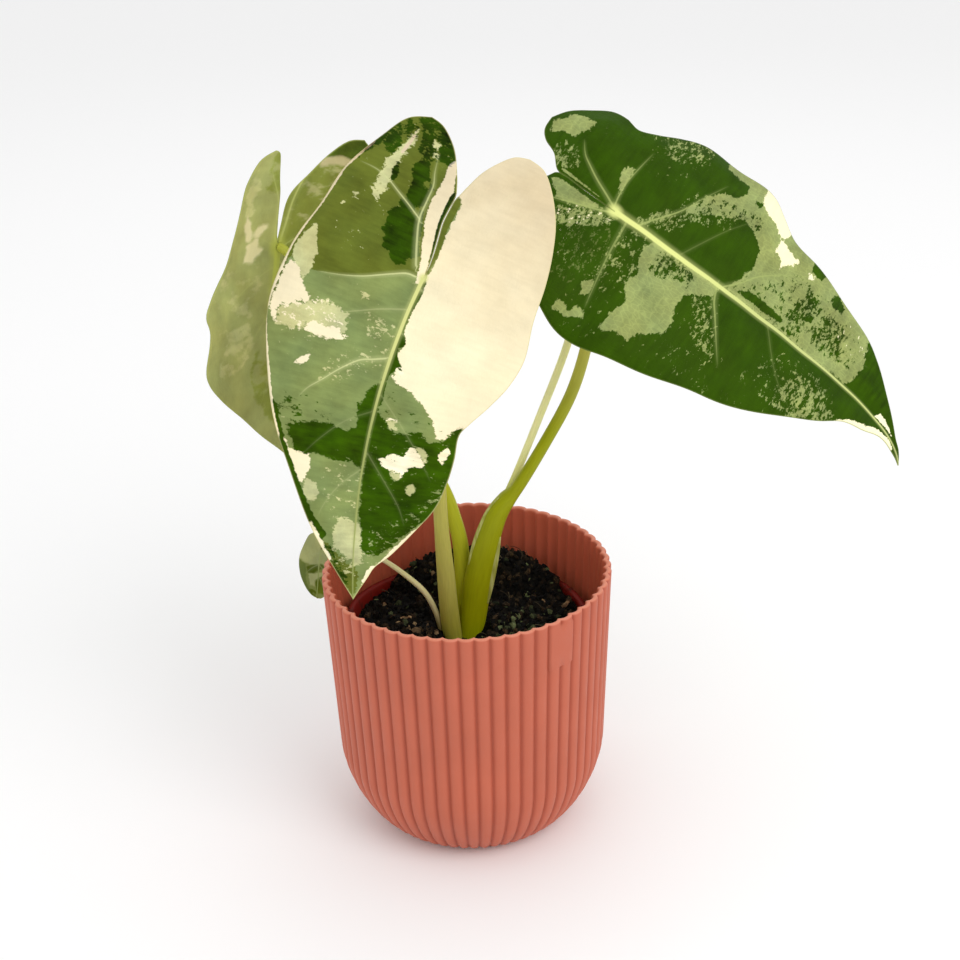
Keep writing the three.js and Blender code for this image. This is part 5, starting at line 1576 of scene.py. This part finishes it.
class LeafRecipe(Recipe):
    """Velvety leaf: ragged patches on the ground colour, soft pale veins, a fine net, a margin."""

    def __init__(self, name, net, rib_half, manner, lobe_shade):
        super().__init__(name)
        self.net, self.rib_half, self.lobe_shade = net, rib_half, lobe_shade
        self.softness, self.fray, self.streakiness = manner
        self.spot = self.read("leaf_place", "Vector")
        parts = self.add("ShaderNodeSeparateXYZ", {0: self.spot})
        self.across = self.math("ABSOLUTE", parts.outputs["X"])
        self.along = parts.outputs["Y"]
        forward = self.add("ShaderNodeCombineXYZ", {"X": self.across, "Y": self.along}).outputs[0]
        leaning = self.stretch(forward, (0.30, 0.55, 1), math.radians(42))
        two_sided = self.times(self.math("SIGN", parts.outputs["X"]), HALVES_APART)
        apart = self.add("ShaderNodeCombineXYZ", {"Z": two_sided}).outputs[0]
        self.grained = self.shift(leaning, apart)
        self.mesh_lines = self.cells(self.stretch(forward, (0.62, 0.34, 1), math.radians(48)), 1.0)
        self.streaked = self.stretch(forward, (0.09, 0.5, 1), math.radians(42))

    def layer_share(self, colour):
        """Where a colour lies: its depth, pushed to and fro by a noise of its own."""
        place = self.shift(self.grained, (LAYERS_APART * (1 + COLOURS.index(colour)), 3.1, 2.0))
        rough = self.noise(place, *self.fray)
        push = self.times(self.math("SUBTRACT", rough, 0.5), FRAY_REACH)
        reach = self.times_plus(push, self.read("rag_" + colour), self.read("deep_" + colour))
        return self.step(reach, -self.softness, self.softness)

    def net_share(self, strength):
        line = self.rest(self.step(self.mesh_lines, 0.0, 0.11))
        return self.times(line, strength)

    def patched(self, face, shares):
        colour = face.ground
        for name, shade in zip(COLOURS, face.layers):
            colour = self.mix(shares[name], colour, shade)
            if name == "pale":
                strength = self.times(shares["pale"], self.net)
                colour = self.mix(self.net_share(strength), colour, face.vein)
        return self.clouded(colour, shares)

    def clouded(self, colour, shares):
        """Soft changes of tone: wide clouds, a drift of hue and streaks along the side veins, with
        painted shade on the dark patches of the back lobes and over the cream.
        """
        cloud = self.range(self.noise(self.spot, 0.085, 3), 0.36, 0.64, -0.16, 0.13)
        reach = self.streakiness
        streak = self.range(self.noise(self.streaked, 1.0, 4, 0.6), 0.34, 0.66, -reach, reach)
        lively = self.times_plus(shares["dark"], 1.3, 1.0)
        lively = self.times_plus(shares["cream"], -0.72, lively)
        change = self.times(self.plus(cloud, streak), lively)
        # Painted shade: the dark patches grow darker towards the back lobes, which face away from the
        # light
        deeper = self.range(self.along, 4, -30, 0.0, -self.lobe_shade)
        change = self.times_plus(deeper, shares["dark"], change)
        # Painted shade on the cream: darker and more beige towards the back lobes and the outer edge,
        # lighter near the middle
        to_lobe = self.range(self.along, 22, -40, 0.12, -0.19)
        to_edge = self.range(self.across, 3, 38, 0.05, -0.05)
        cream_shade = self.times(self.plus(to_lobe, to_edge), shares["cream"])
        change = self.plus(change, cream_shade)
        drift = self.range(self.noise(self.spot, 0.06, 2), 0.35, 0.65, -0.03, 0.03)
        drift = self.times(drift, lively)
        red = self.plus(self.plus(1.0, change), drift)
        green = self.times_plus(cream_shade, 0.2, self.plus(1.0, change))
        blue = self.times_plus(cream_shade, 0.1, self.times_plus(drift, -1.6, green))
        tint = self.add("ShaderNodeCombineColor", {"Red": red, "Green": green, "Blue": blue}).outputs[0]
        return self.mix(1.0, colour, tint, "MULTIPLY")

    def veined(self, colour, face):
        for group in ("a", "b"):
            width = self.math("ABSOLUTE", self.read("vein_" + group))
            core = self.rest(self.step(width, 0.2, 1.25))
            halo = self.times(self.rest(self.step(width, 0.6, 4.0)), HALO_SHARE)
            share = self.times(self.math("MAXIMUM", core, halo), self.read("near_" + group))
            share = self.times(share, face.vein_strength)
            colour = self.mix(share, colour, face.vein, "LIGHTEN")
        half = self.times(self.read("rib"), self.rib_half)
        off = self.math("DIVIDE", self.across, self.plus(half, 0.16))
        ahead = self.step(self.along, -2.0, 0.6)
        rib = self.times(self.rest(self.step(off, 0.55, 1.3)), ahead)
        edge = self.rest(self.step(off, 0.9, 2.6))
        soft = self.times(self.times(edge, ahead), SOFT_RIB_SHARE)
        tone = self.mix(self.step(self.read("rib"), 0.85, 0.5), face.rib_start, face.rib_end)
        return self.mix(self.math("MAXIMUM", rib, soft), colour, tone)

    def heart(self, colour, face):
        """The pale star where the stalk joins."""
        length = self.add("ShaderNodeVectorMath", {0: self.spot}, operation="LENGTH")
        from_heart = length.outputs["Value"]
        near = self.rest(self.step(from_heart, self.rib_half * 0.8, self.rib_half * 3.4))
        return self.mix(self.times(near, HEART_SHARE), colour, face.rib_start)

    def complete(self, top, under, margin):
        shares = {name: self.layer_share(name) for name in COLOURS}
        rim = self.rest(self.step(self.read("edge"), 0.05, 0.5))
        rim = self.times(rim, MARGIN_SHARE)
        sides = []
        for face in (top, under):
            colour = self.heart(self.veined(self.patched(face, shares), face), face)
            sides.append(self.mix(rim, colour, margin))
        below = self.read("under")
        colour = self.mix(self.step(below, 0.4, 0.6), *sides)
        fine = self.noise(self.spot, 2.2, 5, 0.6)
        cells = self.times(self.step(self.mesh_lines, 0.0, 0.2), 0.5)
        relief = self.times_plus(fine, 0.6, cells)
        rough = self.times_plus(below, 0.12, self.range(fine, 0.3, 0.7, 0.42, 0.52))
        return self.finish(
            base_color=colour,
            roughness=rough,
            normal=self.bump(relief, 0.0001, 0.55),
            specular_ior_level=0.1,
            specular_tint=(0.8, 1, 0.3, 1),
        )


# How patches look: softness of their edges, the noise that frays them, strength of the streaks
CRISP = (0.15, (1.3, 7, 0.74), 0.1)
CLOUDY = (0.9, (0.42, 3, 0.55), 0.02)
BLURRED = (0.5, (0.42, 3, 0.55), 0.02)
LEAVES = (
    # leaf, plan, strength of the net, half width of the midrib, how its patches look, how much
    # painted shade darkens the dark ones in the back lobes, margin
    ("front", FRONT_LEAF, 0.25, 0.72, CRISP, 0.4, (214, 206, 142)),
    ("right", RIGHT_LEAF, 0.55, 1.25, CRISP, 0.0, (128, 142, 76)),
    ("rear", REAR_LEAF, 0.15, 1.70, CLOUDY, 0.0, (166, 172, 98)),
    ("small", SMALL_LEAF, 0.10, 0.30, BLURRED, 0.0, (160, 162, 112)),
)


def make_leaves():
    for leaf, plan, net, rib_half, manner, lobe_shade, margin in LEAVES:
        recipe = LeafRecipe("leaf_" + leaf + "_velvet", net, rib_half, manner, lobe_shade)
        material = recipe.complete(*FACES[leaf], paint(*margin))
        blade = "leaf_" + leaf + "_blade"
        make_blade(blade + "_fine", blade, "leaf_" + leaf, plan, material)


# Stalks
STALK_FOOT = 75.4
SOLID_BLADE_THICKNESS = 0.8
HEAD_GAP = 0.4
HEAD_SUNK = 0.35
THIN_HEAD_SUNK = 0.3


def head_of(leaf, depth):
    """A place under the blade, so deep below its solid's keel, and the blade's upward way."""
    blade = Blade(**leaf["blade"])
    under = SOLID_BLADE_THICKNESS / 2 + leaf["keel"] + HEAD_GAP + depth
    return blade.junction - blade.up * under, blade.up


def neck_and_head(leaf, neck_depth, neck_rise, neck_radius, head_radius):
    neck, _ = head_of(leaf, neck_depth)
    head, _ = head_of(leaf, -HEAD_SUNK)
    return [
        (*(neck + np.array([0, 0, neck_rise])), neck_radius, neck_radius),
        (*head, head_radius, head_radius),
    ]


def section_axes(tangent):
    """The two directions across a stalk, the first as near to +X as can be."""
    across = np.array([1.0, 0, 0]) - tangent * tangent[0]
    across /= np.linalg.norm(across)
    return across, np.cross(tangent, across)


def loft(name, stations, sides, steps, end_normal=None):
    """A tapering stalk through its stations, its foot cut level and its head along the blade."""
    centres, tangents, girths = smooth_path(stations, steps)
    tangents[0] = (0, 0, 1)
    if end_normal is not None:
        tangents[-1] = end_normal
    turns = full_turn(sides)
    points, lengths, rounds = [], [], []
    travelled = 0.0
    for index, (centre, tangent, girth) in enumerate(zip(centres, tangents, girths)):
        if index:
            travelled += np.linalg.norm(centre - centres[index - 1])
        across, deep = section_axes(tangent)
        ring = centre + np.outer(girth[0] * np.cos(turns), across)
        ring += np.outer(girth[1] * np.sin(turns), deep)
        points.append(ring)
        lengths.append(np.full(sides, travelled))
        rounds.append(turns)
    piece = mesh_piece(name, np.vstack(points), skin(len(points), sides))
    store(piece, "along", np.concatenate(lengths))
    store(piece, "round", np.concatenate(rounds))
    return piece


FRONT_STALK = (
    (-6, -3.4, STALK_FOOT, 3.6, 3.2), (-6.9, -3.8, 84, 3.7, 3.2), (-7.4, -4.2, 92, 3.6, 3.1),
    (-8, -5.2, 107, 3.3, 2.8), (-8.8, -7.4, 127, 2.7, 2.5), (-9.1, -12, 160, 2.3, 2.3),
    (-9.8, -14, 195, 2, 2),
)
RIGHT_STALK = (
    (1, -1.6, STALK_FOOT, 4.6, 3.9), (1.7, -0.8, 82, 4.9, 4), (2.8, 0, 90, 5.2, 4.1),
    (4, 0.3, 98, 5.4, 4.2), (6.8, 1.2, 111, 5.2, 4.2), (9.8, 2.8, 120.5, 4.5, 4.4),
    (12.7, 4.6, 126.5, 4, 4.8),
    (15.9, 5.4, 130.8, 3.4, 4.2), (19.3, 5.2, 134.8, 2.5, 2.7), (31.7, 8.4, 154, 2.25, 2.25),
    (41, 12, 170.5, 2.25, 2.25), (46.5, 16, 186, 2.15, 2.15), (50.5, 20.5, 204, 2, 2),
)
REAR_STALK = (
    (-2.4, 2.6, STALK_FOOT, 3.6, 3.4), (-1.5, 5, 97, 3.3, 3.1), (-2.2, 6.8, 113, 3, 2.8),
    (-4.3, 8.2, 123, 2.8, 2.6), (-7.2, 9.6, 133, 2.5, 2.4), (-21.5, 12.8, 162, 2.1, 2.1),
    (-38, 15.5, 193, 1.8, 1.8), (-50, 17.5, 215, 1.7, 1.7),
)
SMALL_STALK = (
    (-10.6, -2.6, 79, 0.9, 0.9), (-12.2, -4, 88, 1.1, 1.1), (-16.4, -4, 97.6, 1.1, 1.1),
    (-25.4, 0, 104.8, 1, 1), (-37, 10, 108, 0.95, 0.95), (-48.5, 22.2, 108, 0.9, 0.9),
    (-53.2, 27.4, 107.4, 0.85, 0.85), (-56, 30, 105.2, 0.85, 0.85), (-56.7, 29, 102.4, 0.85, 0.85),
)
NEW_SHOOT = (
    (14.6, 7.4, 129, 1.2, 1.2), (17.5, 9.2, 134.2, 1.35, 1.35), (20, 10.8, 139, 1.4, 1.4),
    (28.4, 15, 158, 1.45, 1.45), (40.4, 21, 187, 1.5, 1.5), (45, 24.5, 204, 2, 1.9),
    (48.9, 27, 219, 2.3, 2.1), (51.2, 28.6, 230, 1.4, 1.3), (52.6, 29.6, 238, 0.45, 0.45),
)
SHEATH_EDGE_LIFT = 0.15
# Thin dry margins of the sheath: how far round the stalk they lie, from where to where, and width
SHEATH_EDGES = (
    ("sheath_edge_right", -28, 91, 119, 1.2),
    ("sheath_edge_left", 205, 106, 130.4, 0.8),
)


def stalk_finish(name, low, middle, high, length):
    """Smooth waxy stalk: colour from foot to head and faint lengthwise lines."""
    recipe = Recipe(name)
    along, turn = recipe.read("along"), recipe.read("round")
    lower = recipe.mix(recipe.step(along, 0, length * 0.22), paint(*low), paint(*middle))
    colour = recipe.mix(recipe.step(along, length * 0.5, length * 0.84), lower, paint(*high))
    ringed = recipe.add("ShaderNodeCombineXYZ", {
        "X": recipe.times(recipe.math("COSINE", turn), 3.0),
        "Y": recipe.times(recipe.math("SINE", turn), 3.0),
        "Z": recipe.times(along, 0.05),
    }).outputs[0]
    lines = recipe.noise(ringed, 2.4, 4, 0.6)
    colour = recipe.shaded(colour, recipe.range(lines, 0.3, 0.7, 0.9, 1.1))
    return recipe.finish(
        base_color=colour,
        roughness=recipe.range(lines, 0.3, 0.7, 0.38, 0.5),
        normal=recipe.bump(lines, 0.0002, 0.4),
        specular_ior_level=0.22,
        specular_tint=(0.95, 1, 0.6, 1),
        subsurface_weight=0.15,
        subsurface_radius=(0.004, 0.005, 0.001),
    )


def make_sheath_edges():
    centres, tangents, girths = smooth_path(RIGHT_STALK, 160)
    recipe = Recipe("dry_sheath_margin")
    lines = recipe.noise(recipe.stretch(recipe.place(), (1, 1, 0.1)), 900, 3)
    colour = recipe.mix(recipe.step(lines, 0.35, 0.65), paint(150, 152, 66), paint(182, 184, 110))
    material = recipe.finish(base_color=colour, roughness=0.55, specular_ior_level=0.2)
    for name, degrees, low, high, width in SHEATH_EDGES:
        stations = []
        turn = math.radians(degrees)
        for z in np.linspace(low, high, 9):
            index = int(np.argmin(np.abs(centres[:, 2] - z)))
            across, deep = section_axes(tangents[index])
            girth = girths[index] + SHEATH_EDGE_LIFT
            point = centres[index] + girth[0] * math.cos(turn) * across
            point = point + girth[1] * math.sin(turn) * deep
            swell = math.sin(math.pi * (z - low + 0.6) / (high - low + 1.2)) ** 0.6
            stations.append((*point, width * swell, 0.5 * swell))
        settle(loft(name, stations, 20, 48), material, "stalk_right")


# Leaf, stations, plan, neck, colours from foot to head, and the length that they change over. A
# neck is its depth under the blade, its rise, its radius and the head's; the thin stalk has none
STALKS = (
    ("front", FRONT_STALK, FRONT_LEAF, (4.5, -3.5, 2, 1.9),
     ((166, 161, 56), (186, 180, 90), (188, 183, 98)), 150),
    # The head colour is lightened as painted light against the shadow the blade casts on it
    ("right", RIGHT_STALK, RIGHT_LEAF, (5.5, -3.5, 2, 1.9),
     ((152, 157, 2), (150, 155, 12), (214, 206, 104)), 170),
    # The head colour is lightened as painted light against the shadow the blade casts on it
    ("rear", REAR_STALK, REAR_LEAF, (4.5, -2, 1.7, 1.6),
     ((156, 160, 24), (176, 178, 38), (196, 200, 84)), 170),
    ("small", SMALL_STALK, SMALL_LEAF, None,
     ((150, 142, 84), (206, 196, 146), (190, 186, 130)), 80),
)
SHOOT_COLOURS = ((206, 206, 110), (250, 246, 184), (250, 246, 184))
SHOOT_LENGTH = 115


def make_stalks():
    for leaf, stations, plan, neck, colours, length in STALKS:
        full = list(stations)
        if neck:
            full += neck_and_head(plan, *neck)
        else:
            full.append((*head_of(plan, -THIN_HEAD_SUNK)[0], 0.8, 0.8))
        _, up = head_of(plan, 0)
        node, slot = "leaf_" + leaf + "_stalk", "stalk_" + leaf
        piece = loft(node + "_fine", full, 32, 120, up)
        settle(piece, stalk_finish(slot + "_skin", *colours, length), slot, node)
    shoot = loft("new_shoot_fine", NEW_SHOOT, 28, 90)
    finish = stalk_finish("new_shoot_skin", *SHOOT_COLOURS, SHOOT_LENGTH)
    settle(shoot, finish, "new_shoot", "new_shoot")


# Light and floor: a pale studio with a big soft light from the upper right
LIGHTS = (
    ("key", (0.6, -0.7, 1.05), 0.8, 5.3),
    ("back", (0.1, 0.95, 0.95), 1.0, 0.8),
)
FLOOR_HALF_SIDE = 6.0
WORLD_STRENGTH = 0.91
AIM = Vector((0.01, 0, 0.15))


def light_studio():
    for name, place, size, power in LIGHTS:
        data = bpy.data.lights.new(name, "AREA")
        data.shape = "DISK"
        data.size = size
        data.energy = power
        lamp = bpy.data.objects.new(name, data)
        lamp.location = place
        lamp.rotation_euler = (AIM - Vector(place)).to_track_quat("-Z", "Y").to_euler()
        bpy.context.scene.collection.objects.link(lamp)
    world = bpy.data.worlds.new("studio")
    world.use_nodes = True
    world.node_tree.nodes["Background"].inputs["Color"].default_value = (1, 1, 1, 1)
    world.node_tree.nodes["Background"].inputs["Strength"].default_value = WORLD_STRENGTH
    bpy.context.scene.world = world
    bpy.context.scene.view_settings.view_transform = "Standard"


def make_floor():
    side = FLOOR_HALF_SIDE / MM
    corners = [(-side, -side, 0), (side, -side, 0), (side, side, 0), (-side, side, 0)]
    floor = mesh_piece("floor", corners, [(0, 1, 2, 3)])
    recipe = Recipe("pale_floor")
    floor.data.materials.append(recipe.finish(base_color=(0.95, 0.95, 0.95, 1), roughness=0.8))


make_cover_pot()
make_nursery_pot()
make_strewn_bits(make_soil())
make_stem_base()
make_leaves()
make_stalks()
make_sheath_edges()
make_floor()
light_studio()
